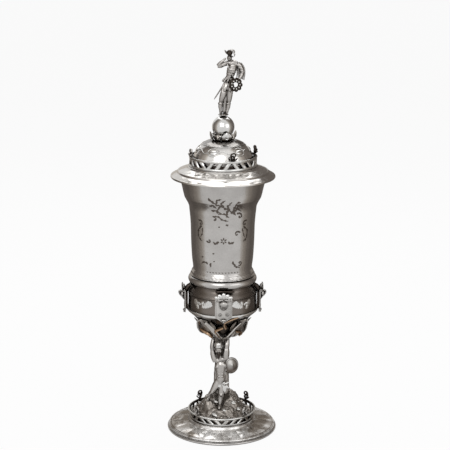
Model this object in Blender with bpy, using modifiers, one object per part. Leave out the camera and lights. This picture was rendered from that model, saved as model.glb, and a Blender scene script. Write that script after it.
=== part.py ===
"""Lidded standing cup in silver: foot, carrying figure, bowl and a cover that lifts off.

The origin is the middle of the foot, on the surface it stands on. +Z is up and the front is -Y.
Every round piece is turned about the Z axis. Lengths are in metres, written as millimetres * MM.
"""

import math

import bmesh
import bpy
from mathutils import Matrix, Vector

MM = 0.001

# Fits shared by the whole cup
GAP = 0.3 * MM
WALL = 1.2 * MM
ROUND_STEPS = 24

# Foot ring and flange
FOOT_RADIUS = 57.2 * MM
FOOT_RING_WIDTH = 3.6 * MM
FOOT_RING_HEIGHT = 3.0 * MM
FLANGE_RISE = 7.4 * MM
FLANGE_WALL = 1.3 * MM
FLANGE_LOBES = 16
FLANGE_LOBE_DEPTH = 0.7 * MM
SHELF_WIDTH = 4.0 * MM

# Pierced foot gallery
FOOT_GALLERY_RADIUS = 31.7 * MM
FOOT_GALLERY_FLARE = 3.1 * MM
FOOT_GALLERY_HEIGHT = 9.4 * MM
GALLERY_WALL = 1.0 * MM
GALLERY_RAIL = 2.1 * MM
GALLERY_SILL = 1.7 * MM
GALLERY_SLATS = 24
SLAT_LEAN = 0.45

# Scroll crests
FOOT_CREST_HEIGHT = 10.0 * MM
COVER_CREST_HEIGHT = 8.8 * MM
CREST_WIRE = 1.1 * MM
FOOT_CREST_TURN = 43.0
COVER_CREST_TURN = 18.0

# Rocky mound
MOUND_HEIGHT = 26.0 * MM
MOUND_TOP_RADIUS = 9.0 * MM
MOUND_WALL = 1.6 * MM
ROCK_HEIGHT = 1.0 * MM
# Each rock: bearing, distance from the axis, half width and rise above the slope
ROCKS = (
    (24.0, 22.0 * MM, 4.2 * MM, 2.6 * MM),
    (78.0, 16.0 * MM, 7.8 * MM, 7.0 * MM),
    (122.0, 15.0 * MM, 7.4 * MM, 7.2 * MM),
    (196.0, 15.0 * MM, 6.6 * MM, 5.6 * MM),
    (262.0, 20.0 * MM, 5.6 * MM, 4.6 * MM),
)

# Stem: trunk, rod and carrying figure
STEM_HEIGHT = 63.6 * MM
TRUNK_RADIUS = 5.2 * MM
TRUNK_LEAN = 2.6 * MM
TRUNK_BACK = 1.6 * MM
BRANCH_RADIUS = 2.6 * MM
BRANCH_REACH = 8.6 * MM
ROD_RADIUS = 1.6 * MM
ROD_FIT = 0.3 * MM
NUT_RADIUS = 4.2 * MM
NUT_HEIGHT = 3.0 * MM
WASHER_RADIUS = 6.0 * MM
WASHER_HEIGHT = 1.2 * MM
FIGURE_FORWARD = 9.2 * MM
FIGURE_DROP = 10.0 * MM
FOOT_STEP = 5.0 * MM
SHIELD_RADIUS = 8.6 * MM
SHIELD_THICKNESS = 3.4 * MM
SHIELD_ASIDE = 7.9 * MM
SHIELD_FORWARD = 1.6 * MM

# Open calyx under the bowl
CALYX_PLATE_RADIUS = 12.5 * MM
CALYX_PLATE_HEIGHT = 2.0 * MM
CALYX_CORE_RADIUS = 4.6 * MM
CALYX_CORE_HEIGHT = 11.2 * MM
CALYX_SCROLL_WIRE = 1.3 * MM
CALYX_LEAF_WIDTH = 15.0 * MM
CALYX_LEAF_WALL = 0.9 * MM
CALYX_LEAF_BELLY = 3.2 * MM

# Bulged lower bowl
KNOP_RADIUS = 35.4 * MM
KNOP_NECK_RADIUS = 30.4 * MM
KNOP_FLOOR_RADIUS = 13.0 * MM
KNOP_TAPER_HEIGHT = 14.2 * MM
KNOP_BAND_HEIGHT = 18.6 * MM
KNOP_SHOULDER_HEIGHT = 10.6 * MM
KNOP_RING_HEIGHT = 2.0 * MM
KNOP_RING_PROUD = 1.3 * MM

# Strap brackets on the bulge
BRACKET_TURN = 2.0
BRACKET_STANDOFF = 2.4 * MM
BRACKET_THICKNESS = 1.3 * MM
BRACKET_WIDTH = 17.4 * MM
BRACKET_HEIGHT = 19.0 * MM
BRACKET_POINT = 6.0 * MM
BRACKET_CREST = 7.0 * MM
BRACKET_WIRE = 1.9 * MM
BRACKET_PAD_WIDTH = 11.0 * MM
BOSS_RADIUS = 1.5 * MM
BOSS_PROUD = 0.7 * MM
# Each roll: share of the bracket's width, height above its point, radius
ROLLS = (
    (0.92, 24.6 * MM, 1.5 * MM),
    (0.40, 20.8 * MM, 2.5 * MM),
    (0.34, 3.4 * MM, 1.3 * MM),
)

# Torus ring and beaker
TORUS_RADIUS = 35.3 * MM
TORUS_HEIGHT = 8.8 * MM
SPIGOT_DEPTH = 14.0 * MM
BEAKER_FOOT_RADIUS = 30.4 * MM
BEAKER_BEAD_RADIUS = 32.0 * MM
BEAKER_BEAD_HEIGHT = 4.4 * MM
BEAKER_WAIST_RADIUS = 34.2 * MM
BEAKER_WAIST_HEIGHT = 68.0 * MM
BEAKER_FLARE_RADIUS = 40.2 * MM
BEAKER_FLARE_HEIGHT = 85.6 * MM
BEAKER_HEIGHT = 105.5 * MM
LIP_WIRE = 1.1 * MM

# Cover
BRIM_RADIUS = 53.3 * MM
BRIM_OVERHANG = 8.1 * MM
BRIM_DROP = 4.2 * MM
BRIM_EDGE = 2.1 * MM
BRIM_RISE = 7.8 * MM
BEZEL_DEPTH = 9.0 * MM
BEZEL_FIT = 0.8 * MM
COVER_GALLERY_RADIUS = 33.9 * MM
COVER_GALLERY_HEIGHT = 10.2 * MM
DOME_RADIUS = 31.6 * MM
DOME_HEIGHT = 26.0 * MM
DOME_CROWN_RADIUS = 10.0 * MM

# Finial
FINIAL_CALYX_RADIUS = 9.6 * MM
FINIAL_CALYX_HEIGHT = 5.2 * MM
FINIAL_CALYX_CURL = 0.7 * MM
BALL_RADIUS = 11.3 * MM
FINIAL_ROD_RADIUS = 1.1 * MM
FINIAL_NUT_HEIGHT = 2.4 * MM
FINIAL_NUT_RADIUS = 3.2 * MM
FINIAL_FIGURE_HEIGHT = 64.6 * MM
PLINTH_RADIUS = 5.2 * MM
PLINTH_HEIGHT = 2.2 * MM
WREATH_RADIUS = 6.1 * MM
WREATH_WIRE = 1.4 * MM
SWORD_WIRE = 0.8 * MM

POCKET_RADIUS = 5.2 * MM
SHIELD_SHARE = 0.55

# Triangles that each figure keeps
FIGURE_TRIANGLES = 590
CAST_VOXEL = 0.7 * MM

# Heights above the table, each from the piece below it
FLANGE_BASE = FOOT_RING_HEIGHT + GAP
FLANGE_TOP = FLANGE_BASE + FLANGE_RISE
SHELF_TOP = FLANGE_TOP + GAP
MOUND_TOP = SHELF_TOP + MOUND_HEIGHT
STEM_TOP = MOUND_TOP + STEM_HEIGHT
PLATE_BASE = STEM_TOP + GAP
PLATE_TOP = PLATE_BASE + CALYX_PLATE_HEIGHT
CORE_BASE = PLATE_TOP + GAP
KNOP_BASE = CORE_BASE + CALYX_CORE_HEIGHT + GAP
KNOP_BAND = KNOP_BASE + KNOP_TAPER_HEIGHT
KNOP_SHOULDER = KNOP_BAND + KNOP_BAND_HEIGHT
KNOP_TOP = KNOP_SHOULDER + KNOP_SHOULDER_HEIGHT
TORUS_BASE = KNOP_TOP + GAP
BEAKER_BASE = TORUS_BASE + TORUS_HEIGHT + GAP
LIP_TOP = BEAKER_BASE + BEAKER_HEIGHT
SEAT = LIP_TOP + GAP
BRIM_TOP = SEAT + BRIM_RISE
DOME_BASE = BRIM_TOP + GAP
DOME_TOP = DOME_BASE + DOME_HEIGHT
FINIAL_BASE = DOME_TOP + GAP
BALL_HEIGHT = FINIAL_BASE + WALL + GAP + BALL_RADIUS
PLINTH_BASE = BALL_HEIGHT + BALL_RADIUS + GAP

PLINTH_TOP = PLINTH_BASE + PLINTH_HEIGHT
FOOT_LEVEL = MOUND_TOP - FIGURE_DROP
MOUND_CEILING = FOOT_LEVEL - GAP - MOUND_WALL

HOLE_RADIUS = ROD_RADIUS + ROD_FIT
FINIAL_HOLE_RADIUS = FINIAL_ROD_RADIUS + ROD_FIT
SPIGOT_RADIUS = KNOP_NECK_RADIUS - WALL - GAP
BEAKER_LIP_RADIUS = BRIM_RADIUS - BRIM_OVERHANG

# Finishes: colour and roughness
POLISHED = ((0.76, 0.75, 0.72), 0.18)
CAST = ((0.62, 0.60, 0.56), 0.30)
CHASED = ((0.55, 0.53, 0.48), 0.35)
STEEL = ((0.50, 0.50, 0.50), 0.40)


def clear_scene():
    """Empty the scene and leave two collections: the cup and the cutters."""
    for obj in list(bpy.data.objects):
        bpy.data.objects.remove(obj)
    for name in ("standing_cup", "cutters"):
        collection = bpy.data.collections.new(name)
        bpy.context.scene.collection.children.link(collection)


def metal(name, finish):
    """A Principled metal from a finish, which is its colour and its roughness."""
    colour, roughness = finish
    material = bpy.data.materials.new(name)
    material.use_nodes = True
    shader = material.node_tree.nodes["Principled BSDF"]
    shader.inputs["Base Color"].default_value = (*colour, 1.0)
    shader.inputs["Roughness"].default_value = roughness
    shader.inputs["Metallic"].default_value = 1.0
    return material


def body_empty(name, height):
    """An empty on the cup's axis that carries the pieces which move together."""
    empty = bpy.data.objects.new(name, None)
    empty.location = (0.0, 0.0, height)
    bpy.data.collections["standing_cup"].objects.link(empty)
    return empty


def shade_smooth(mesh, angle=35.0):
    """Smooth shading that keeps the edges sharper than the angle."""
    mesh.shade_smooth()
    mesh.set_sharp_from_angle(angle=math.radians(angle))


def place(obj, finish, parent):
    """Put a finished piece into the cup's collection, under its body."""
    bpy.data.collections["standing_cup"].objects.link(obj)
    obj.data.materials.clear()
    obj.data.materials.append(metal(f"{obj.name}_metal", finish))
    obj.parent = parent
    obj.matrix_parent_inverse = Matrix.Translation(-parent.location)
    return obj


def helper(name, mesh):
    """A cutter or guide, which no render shows."""
    obj = bpy.data.objects.new(name, mesh)
    bpy.data.collections["cutters"].objects.link(obj)
    obj.hide_render = True
    obj.display_type = "WIRE"
    return obj


def realised(obj):
    """The mesh that an object's modifiers or curve make, with loose caps welded."""
    bpy.context.view_layer.update()
    graph = bpy.context.evaluated_depsgraph_get()
    mesh = bpy.data.meshes.new_from_object(obj.evaluated_get(graph), depsgraph=graph)
    mesh.transform(obj.matrix_world)
    bpy.data.objects.remove(obj)
    shape = bmesh.new()
    shape.from_mesh(mesh)
    bmesh.ops.remove_doubles(shape, verts=shape.verts, dist=0.002 * MM)
    bmesh.ops.recalc_face_normals(shape, faces=shape.faces)
    shape.to_mesh(mesh)
    shape.free()
    return mesh


def outline_mesh(name, outline, closed):
    """A chain of edges in the XZ plane through (radius, height) points."""
    mesh = bpy.data.meshes.new(name)
    points = [(radius, 0.0, height) for radius, height in outline]
    count = len(points)
    edges = [(i, (i + 1) % count) for i in range(count if closed else count - 1)]
    mesh.from_pydata(points, edges, [])
    return mesh


def turned_mesh(name, outline, closed=True, steps=ROUND_STEPS):
    """A profile turned about Z. It runs down the outer side and, if closed, back up the inner one."""
    obj = helper(name, outline_mesh(name, outline, closed))
    screw = obj.modifiers.new("turn", "SCREW")
    screw.axis = "Z"
    screw.angle = math.tau
    screw.steps = steps
    screw.render_steps = steps
    screw.use_merge_vertices = True
    screw.merge_threshold = 0.00001
    mesh = realised(obj)
    return mesh


def turned(name, outline, finish, parent, closed=True, steps=ROUND_STEPS):
    """A turned piece of the cup."""
    mesh = turned_mesh(name, outline, closed, steps)
    shade_smooth(mesh)
    return place(bpy.data.objects.new(name, mesh), finish, parent)


def offset_outline(outline, distance):
    """The outline moved to its inner side by a distance, with mitred corners."""
    moved = []
    last = len(outline) - 1
    for i, (radius, height) in enumerate(outline):
        before = Vector(outline[max(i - 1, 0)])
        after = Vector(outline[min(i + 1, last)])
        here = Vector((radius, height))
        into = (here - before).normalized() if i > 0 else (after - here).normalized()
        out_of = (after - here).normalized() if i < last else into
        along = (into + out_of).normalized()
        inward = Vector((along.y, -along.x))
        stretch = distance / max(0.5, math.sqrt((1 + into.dot(out_of)) / 2))
        moved.append((radius + inward.x * stretch, height + inward.y * stretch))
    return moved


def shell_outline(outline, wall):
    """A closed profile of even wall from the outer side, listed from top to bottom."""
    return outline + list(reversed(offset_outline(outline, wall)))


def height_on(outline, radius):
    """Height of an outline at a radius, between its points."""
    for (r0, z0), (r1, z1) in zip(outline, outline[1:]):
        if min(r0, r1) <= radius <= max(r0, r1) and r0 != r1:
            return z0 + (z1 - z0) * (radius - r0) / (r1 - r0)
    return outline[-1][1]


def radius_on(outline, height):
    """Radius of an outline at a height, between its points."""
    for (r0, z0), (r1, z1) in zip(outline, outline[1:]):
        if min(z0, z1) <= height <= max(z0, z1) and z0 != z1:
            return r0 + (r1 - r0) * (height - z0) / (z1 - z0)
    return outline[-1][0]


def arc(centre, radius, start, end, count):
    """Points along an arc, with angles in degrees."""
    angles = [math.radians(start + (end - start) * i / (count - 1)) for i in range(count)]
    return [(centre[0] + radius * math.cos(a), centre[1] + radius * math.sin(a)) for a in angles]


def volute(centre, start_radius, end_radius, start, end, count):
    """Points along a spiral whose radius shrinks evenly, with angles in degrees."""
    points = []
    for i in range(count):
        share = i / (count - 1)
        radius = start_radius + (end_radius - start_radius) * share
        angle = math.radians(start + (end - start) * share)
        points.append((centre[0] + radius * math.cos(angle), centre[1] + radius * math.sin(angle)))
    return points


def smooth_path(keys, spans):
    """Points on a smooth curve through the keys, each (x, y, z, radius)."""
    keys = [Vector(key) for key in keys]
    points = []
    for i in range(len(keys) - 1):
        a = keys[max(i - 1, 0)]
        b = keys[i]
        c = keys[i + 1]
        d = keys[min(i + 2, len(keys) - 1)]
        for step in range(spans):
            t = step / spans
            bend = (2 * b) + (c - a) * t + (2 * a - 5 * b + 4 * c - d) * t * t
            points.append((bend + (3 * b - a - 3 * c + d) * t * t * t) / 2)
    points.append(keys[-1])
    return points


def tube_mesh(name, path, sides=6):
    """A wire with round section and filled ends, through points (x, y, z, radius)."""
    data = bpy.data.curves.new(name, "CURVE")
    data.dimensions = "3D"
    data.bevel_depth = 1.0
    data.bevel_resolution = sides // 2 - 2
    data.use_fill_caps = True
    spline = data.splines.new("POLY")
    spline.points.add(len(path) - 1)
    for point, (x, y, z, radius) in zip(spline.points, path):
        point.co = (x, y, z, 1.0)
        point.radius = radius
    obj = bpy.data.objects.new(name, data)
    bpy.data.collections["cutters"].objects.link(obj)
    obj.hide_render = True
    return realised(obj)


def ball_mesh(name, centre, radii, turn=(0.0, 0.0, 0.0), segments=12):
    """An ellipsoid, turned by angles in degrees."""
    shape = bmesh.new()
    bmesh.ops.create_uvsphere(shape, u_segments=segments, v_segments=segments // 2 + 1, radius=1.0)
    spin = Matrix.Identity(4)
    for axis, angle in zip("XYZ", turn):
        spin = Matrix.Rotation(math.radians(angle), 4, axis) @ spin
    bmesh.ops.transform(
        shape,
        matrix=Matrix.Translation(centre) @ spin @ Matrix.Diagonal((*radii, 1.0)),
        verts=shape.verts,
    )
    mesh = bpy.data.meshes.new(name)
    shape.to_mesh(mesh)
    shape.free()
    return mesh


def rod_mesh(name, start, end, radius, sides=16):
    """A straight cylinder or prism between two points."""
    start = Vector(start)
    end = Vector(end)
    shape = bmesh.new()
    bmesh.ops.create_cone(
        shape,
        cap_ends=True,
        segments=sides,
        radius1=radius,
        radius2=radius,
        depth=(end - start).length,
    )
    aim = (end - start).to_track_quat("Z", "Y").to_matrix().to_4x4()
    bmesh.ops.transform(
        shape, matrix=Matrix.Translation((start + end) / 2) @ aim, verts=shape.verts
    )
    mesh = bpy.data.meshes.new(name)
    shape.to_mesh(mesh)
    shape.free()
    return mesh


def plate_mesh(name, outline, thickness):
    """A flat plate in the XZ plane: a filled outline with a thickness along Y."""
    data = bpy.data.curves.new(name, "CURVE")
    data.dimensions = "2D"
    data.fill_mode = "BOTH"
    data.extrude = thickness / 2
    spline = data.splines.new("POLY")
    spline.points.add(len(outline) - 1)
    for point, (x, z) in zip(spline.points, outline):
        point.co = (x, z, 0.0, 1.0)
    spline.use_cyclic_u = True
    obj = bpy.data.objects.new(name, data)
    bpy.data.collections["cutters"].objects.link(obj)
    obj.hide_render = True
    obj.rotation_euler = (math.pi / 2, 0.0, 0.0)
    return realised(obj)


def united_mesh(name, meshes):
    """Overlapping meshes joined into one body by Boolean unions."""
    base = helper(name, meshes[0])
    for i, mesh in enumerate(meshes[1:]):
        part = helper(f"{name}_part_{i}", mesh)
        union = base.modifiers.new(f"union_{i}", "BOOLEAN")
        union.operation = "UNION"
        union.object = part
    parts = [modifier.object for modifier in base.modifiers]
    mesh = realised(base)
    for part in parts:
        bpy.data.objects.remove(part)
    return mesh


def cut_mesh(name, mesh, cutters):
    """A mesh with the cutters taken out of it."""
    base = helper(name, mesh)
    parts = []
    for i, cutter in enumerate(cutters):
        part = helper(f"{name}_cutter_{i}", cutter)
        difference = base.modifiers.new(f"cut_{i}", "BOOLEAN")
        difference.operation = "DIFFERENCE"
        difference.object = part
        parts.append(part)
    result = realised(base)
    for part in parts:
        bpy.data.objects.remove(part)
    return result


def cast_mesh(name, meshes, voxel, triangles):
    """Overlapping limbs and drapery melted into one skin, as a casting, and thinned."""
    shape = bmesh.new()
    for mesh in meshes:
        shape.from_mesh(mesh)
    joined = bpy.data.meshes.new(name)
    shape.to_mesh(joined)
    shape.free()
    obj = helper(name, joined)
    remesh = obj.modifiers.new("melt", "REMESH")
    remesh.mode = "VOXEL"
    remesh.voxel_size = voxel
    smooth = obj.modifiers.new("soften", "SMOOTH")
    smooth.factor = 0.5
    smooth.iterations = 2
    bpy.context.view_layer.update()
    graph = bpy.context.evaluated_depsgraph_get()
    melted = obj.evaluated_get(graph).to_mesh()
    melted.calc_loop_triangles()
    thin = obj.modifiers.new("thin", "DECIMATE")
    thin.ratio = min(1.0, triangles / len(melted.loop_triangles))
    thin.use_collapse_triangulate = True
    obj.evaluated_get(graph).to_mesh_clear()
    return realised(obj)


def shaped(name, mesh, finish, parent, angle=35.0):
    """A piece of the cup from a finished mesh."""
    shade_smooth(mesh, angle)
    return place(bpy.data.objects.new(name, mesh), finish, parent)


def around(turn, radius, height=0.0):
    """Frame at a bearing: local X runs along the wall, local -Y points outwards, Z is up."""
    spin = Matrix.Rotation(math.radians(turn), 4, "Z")
    return spin @ Matrix.Translation((0.0, -radius, height))


def foot_ring(cup):
    """Stepped rim that the whole cup stands on."""
    r = FOOT_RADIUS
    h = FOOT_RING_HEIGHT
    outline = [
        (r - 2.0 * MM, h),
        (r - 0.4 * MM, 0.65 * h),
        (r, 0.35 * h),
        (r, 0.0),
        (r - FOOT_RING_WIDTH, 0.0),
        (r - FOOT_RING_WIDTH, h),
    ]
    turned("foot_ring", outline, POLISHED, cup, steps=28)


def flange_outline():
    """Upper side of the foot flange, from the shelf down to the edge."""
    shelf_in = FOOT_GALLERY_RADIUS - SHELF_WIDTH
    shelf_out = FOOT_GALLERY_RADIUS + GALLERY_WALL
    edge = FOOT_RADIUS - 1.7 * MM
    reach = edge - shelf_out
    points = [(shelf_in, FLANGE_TOP), (shelf_out, FLANGE_TOP)]
    for share, drop in ((0.25, 0.42), (0.66, 0.8), (1.0, 1.0)):
        height = FLANGE_TOP - drop * (FLANGE_RISE - FLANGE_WALL)
        points.append((shelf_out + share * reach, height))
    return points


def lobe_swell(radius, bearing):
    """How far the flange rises at a point of its radial lobes."""
    inner = FOOT_GALLERY_RADIUS + 2.0 * MM
    outer = FOOT_RADIUS - 2.4 * MM
    share = (radius - inner) / (outer - inner)
    if share <= 0.0 or share >= 1.0:
        return 0.0
    return FLANGE_LOBE_DEPTH * math.sin(math.pi * share) ** 0.7 * math.cos(FLANGE_LOBES * bearing)


def foot_flange(cup):
    """Hollow lobed foot, raised from one sheet, whose underside ends flat on the ring."""
    outer = flange_outline()
    inner = offset_outline(outer, FLANGE_WALL)
    outline = outer + [inner[-1], inner[3], inner[0]]
    outline = [(radius, max(height, FLANGE_BASE)) for radius, height in outline]
    mesh = turned_mesh("foot_flange", outline, steps=3 * FLANGE_LOBES)
    for vertex in mesh.vertices:
        radius = math.hypot(vertex.co.x, vertex.co.y)
        bearing = math.atan2(vertex.co.y, vertex.co.x)
        swell = lobe_swell(radius, bearing)
        vertex.co.z = max(vertex.co.z + swell, min(vertex.co.z, FLANGE_BASE))
    shaped("foot_flange", mesh, CHASED, cup)


def slat_lean(bearing, crest_turn):
    """Which way the slats lean: towards the nearest crest, on both sides of it."""
    return math.copysign(1.0, math.sin(4 * (bearing - math.radians(crest_turn)) + 0.01))


def gallery(name, radius, flare, height, base, crest_turn, parent):
    """Pierced band: a turned sheet, opened between its slats, which lean, and then thickened."""
    open_height = height - GALLERY_RAIL - GALLERY_SILL
    heights = (0.0, GALLERY_SILL, GALLERY_SILL + open_height, height)
    outline = [(radius + flare * h / height, base + h) for h in reversed(heights)]
    mesh = turned_mesh(name, outline, closed=False, steps=2 * GALLERY_SLATS)
    middle = base + GALLERY_SILL + open_height / 2
    slot = math.tau / GALLERY_SLATS
    shape = bmesh.new()
    shape.from_mesh(mesh)
    for face in list(shape.faces):
        centre = face.calc_center_median()
        bearing = math.atan2(centre.x, -centre.y) % math.tau
        among_slats = abs(centre.z - middle) < open_height / 4
        if among_slats and int(bearing / slot * 2) % 2:
            shape.faces.remove(face)
    for vertex in shape.verts:
        bearing = math.atan2(vertex.co.x, -vertex.co.y)
        up = (vertex.co.z - middle) / open_height
        lean = SLAT_LEAN * slot * slat_lean(bearing, crest_turn) * max(-0.5, min(0.5, up))
        vertex.co = Matrix.Rotation(lean, 3, "Z") @ vertex.co
    shape.to_mesh(mesh)
    shape.free()
    obj = shaped(name, mesh, POLISHED, parent)
    sheet = obj.modifiers.new("sheet", "SOLIDIFY")
    sheet.thickness = GALLERY_WALL
    sheet.offset = 0.0
    sheet.use_even_offset = True


def crest_mesh(name, height):
    """Scroll crest: a broad C scroll with a swollen tip, between two small leaves."""
    curl = 0.27 * height
    eye = (0.0, height - curl - CREST_WIRE)
    stem = [(0.0, 0.0), (-0.5 * curl, 0.22 * height)]
    path = stem + volute(eye, 1.15 * curl, 0.4 * curl, -150, -480, 6)
    swells = [1.3] + [1.05] * (len(path) - 2) + [1.4]
    wire = [(x, 0.0, z, CREST_WIRE * swell) for (x, z), swell in zip(path, swells)]
    leaves = []
    for side in (-1, 1):
        centre = (side * 0.2 * height, 0.0, 0.17 * height)
        radii = (0.25 * height, 1.3 * CREST_WIRE, 0.14 * height)
        leaves.append(ball_mesh("leaf", centre, radii, (0.0, -side * 35.0, side * 24.0), segments=5))
    return united_mesh(name, [tube_mesh("scroll", wire, 4)] + leaves)


def crests(prefix, names, first_turn, radius, base, height, parent):
    """Four crests standing on a gallery's rail."""
    mesh = crest_mesh(prefix, height)
    lowest = min(vertex.co.z for vertex in mesh.vertices)
    for i, name in enumerate(names):
        copy = mesh.copy()
        copy.transform(around(first_turn + 90.0 * i, radius, base - lowest + GAP))
        shaped(f"{prefix}_{name}", copy, CAST, parent)


def mound_outline():
    """Upper side of the mound, from the rod's hole down to the foot's shelf."""
    edge = FOOT_GALLERY_RADIUS - 1.1 * MM
    reach = edge - MOUND_TOP_RADIUS
    points = [(HOLE_RADIUS, MOUND_TOP), (MOUND_TOP_RADIUS * 0.75, MOUND_TOP)]
    points.append((MOUND_TOP_RADIUS, MOUND_TOP - 0.06 * MOUND_HEIGHT))
    for share, drop in ((0.2, 0.2), (0.42, 0.46), (0.66, 0.77), (0.86, 0.93)):
        points.append((MOUND_TOP_RADIUS + share * reach, MOUND_TOP - drop * MOUND_HEIGHT))
    points.append((edge, SHELF_TOP + 0.8 * MOUND_WALL))
    return points


def rock(radius, bearing):
    """Lumps of rock over the mound's slope, flat again at its top and its edge."""
    edge = FOOT_GALLERY_RADIUS - 1.1 * MM
    share = (radius - MOUND_TOP_RADIUS) / (edge - MOUND_TOP_RADIUS)
    if share <= 0.0 or share >= 0.9:
        return 0.0
    lumps = math.sin(5 * bearing + 9 * share) + 0.7 * math.sin(9 * bearing - 13 * share)
    return ROCK_HEIGHT * math.sin(math.pi * share) * (0.4 + lumps)


def ground_mound(cup):
    """Rocky mound, hollow below the pockets that take the carrying figure's feet."""
    outer = mound_outline()
    edge = outer[-1][0]
    middle = 0.5 * (MOUND_CEILING + SHELF_TOP)
    inner = []
    for height in (MOUND_CEILING, middle, SHELF_TOP + MOUND_WALL):
        inner.append((radius_on(outer, height) - 1.6 * MOUND_WALL, height))
    hollow = [(0.0, MOUND_CEILING)] + inner + [(inner[-1][0], 0.0), (0.0, 0.0)]
    solid = outer + [(edge, SHELF_TOP), (HOLE_RADIUS, SHELF_TOP)]
    mesh = turned_mesh("ground_mound", solid, steps=20)
    for vertex in mesh.vertices:
        radius = math.hypot(vertex.co.x, vertex.co.y)
        bearing = math.atan2(vertex.co.y, vertex.co.x)
        if vertex.co.z > height_on(outer, radius) - 0.1 * MM:
            vertex.co.z += rock(radius, bearing)
    rocks = []
    seat = trunk_mesh(GAP)
    seat.transform(Matrix.Translation((0.0, 0.0, -0.1 * GAP)))
    cutters = [turned_mesh("hollow", hollow, closed=False, steps=14), seat]
    for bearing, radius, size, rise in ROCKS:
        x = radius * math.sin(math.radians(bearing))
        y = -radius * math.cos(math.radians(bearing))
        deep = max(rise, 0.8 * size)
        z = height_on(outer, radius) + rise - deep
        turn = (8.0, 5.0, bearing + 20.0)
        rocks.append(ball_mesh("rock", (x, y, z), (1.2 * size, 0.9 * size, deep), turn, 5))
    for x, y, level in figure_feet():
        floor = level - GAP
        size = (1.3 * POCKET_RADIUS, 1.25 * POCKET_RADIUS, 0.9 * POCKET_RADIUS)
        rocks.append(ball_mesh("rock", (x, y, floor + 0.5 * MM - size[2]), size, (9, 5, 20), 6))
        sky = (x, y, MOUND_TOP + POCKET_RADIUS)
        cutters.append(rod_mesh("pocket", (x, y, floor), sky, POCKET_RADIUS, 10))
    mesh = united_mesh("ground_mound", [mesh] + rocks)
    shaped("ground_mound", cut_mesh("ground_mound", mesh, cutters), CHASED, cup, 25.0)


def limb(keys, place_key, grow=0.0, spans=3, sides=8):
    """A limb through (x, y, z, radius) keys in the figure's own millimetres."""
    path = [place_key(*key, grow) for key in smooth_path(keys, spans)]
    return tube_mesh("limb", path, sides)


def block(low, high):
    """A box between two corners."""
    shape = bmesh.new()
    bmesh.ops.create_cube(shape, size=1.0)
    low = Vector(low)
    high = Vector(high)
    size = Matrix.Diagonal((*(high - low), 1.0))
    bmesh.ops.transform(shape, matrix=Matrix.Translation((low + high) / 2) @ size, verts=shape.verts)
    mesh = bpy.data.meshes.new("block")
    shape.to_mesh(mesh)
    shape.free()
    return mesh


def figure_key(x, y, z, radius, grow=0.0):
    """A key of the carrying figure, drawn 73.6 high above its soles, in the cup."""
    size = (STEM_TOP - FOOT_LEVEL) / 73.6
    return (x * size, y * size - FIGURE_FORWARD, FOOT_LEVEL + z * size, radius * size + grow)


def figure_feet():
    """The places of the carrying figure's feet: the left one a step up on a rock."""
    feet = []
    for x, y, step in ((-14.2, -0.8, FOOT_STEP), (-2.4, -6.0, 0.0)):
        place_x, place_y, _, _ = figure_key(x, y, 0.0, 0.0)
        feet.append((place_x, place_y, FOOT_LEVEL + step))
    return feet


def figure_lump(centre, radii, turn=(0.0, 0.0, 0.0), segments=12):
    """A rounded mass of the carrying figure."""
    x, y, z, _ = figure_key(*centre, 0.0)
    size = (STEM_TOP - FOOT_LEVEL) / 73.6
    return ball_mesh("lump", (x, y, z), [r * size for r in radii], turn, segments)


def stem_figure(cup):
    """Bearded carrying figure with raised arms, standing astride on the rocks before the trunk."""
    key = figure_key
    pieces = [
        limb([(-1.8, 0, 25.5, 6.2), (-3.0, 0, 33, 5.9), (-2.8, 0, 40, 6.0), (-2.2, 0, 46, 5.9)], key),
        limb([(-7.0, 0, 47.5, 2.9), (-1.8, 0.2, 49, 3.5), (3.2, 0, 50.4, 2.9)], key),
        limb([(-2.0, 0, 48, 2.8), (-3.4, -0.6, 57, 2.6)], key),
        figure_lump((-3.9, -1.0, 63.6), (4.0, 4.4, 6.2), (0, -5, 0)),
        figure_lump((-3.9, -3.5, 57.8), (3.1, 2.2, 4.8), (0, -5, 0)),
        limb([(-7.4, 0, 47.5, 2.7), (-11.6, 0, 56, 2.5), (-12.2, 0.6, 66, 2.3), (-10.4, 3, 74, 2.2)], key),
        limb([(3.4, 0, 50.4, 2.7), (4.4, 0, 59, 2.5), (5.0, 1, 67, 2.3), (5.6, 3, 74, 2.2)], key),
        limb([(-3.4, 0, 25.5, 4.1), (-10.6, -1.2, 15.5, 3.2), (-13.4, 0.2, 7.5, 2.4)], key),
        limb([(0.8, 0, 25.5, 4.1), (-0.8, -3.0, 13, 3.2), (-1.9, -4.4, 2.5, 2.3)], key),
        figure_lump((-14.2, -0.8, 6.0), (3.9, 2.4, 2.0), (0, 0, 20)),
        figure_lump((-2.4, -6.2, 1.0), (2.4, 3.9, 2.0)),
        figure_lump((-1.2, -0.4, 24.0), (7.0, 5.2, 3.4), (0, 8, 0)),
        figure_lump((3.0, -4.6, 26.4), (3.3, 2.0, 3.3), (0, 45, 0)),
        limb([(3.2, -4.4, 25.0, 2.2), (6.0, -3.4, 19.6, 2.3)], key),
    ]
    mesh = cast_mesh("stem_figure", pieces, CAST_VOXEL, FIGURE_TRIANGLES)
    deep = 20 * MM
    cutters = [trunk_mesh(GAP), shield_mesh(GAP)]
    cutters.append(block((-deep, -2 * deep, STEM_TOP), (deep, deep, STEM_TOP + deep)))
    for x, y, sole in figure_feet():
        low = (x - POCKET_RADIUS, y - POCKET_RADIUS, sole - deep)
        cutters.append(block(low, (x + POCKET_RADIUS, y + POCKET_RADIUS, sole)))
    mesh = cut_mesh("stem_figure", mesh, cutters)
    shaped("stem_figure", mesh, CAST, cup, 50.0)


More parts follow.
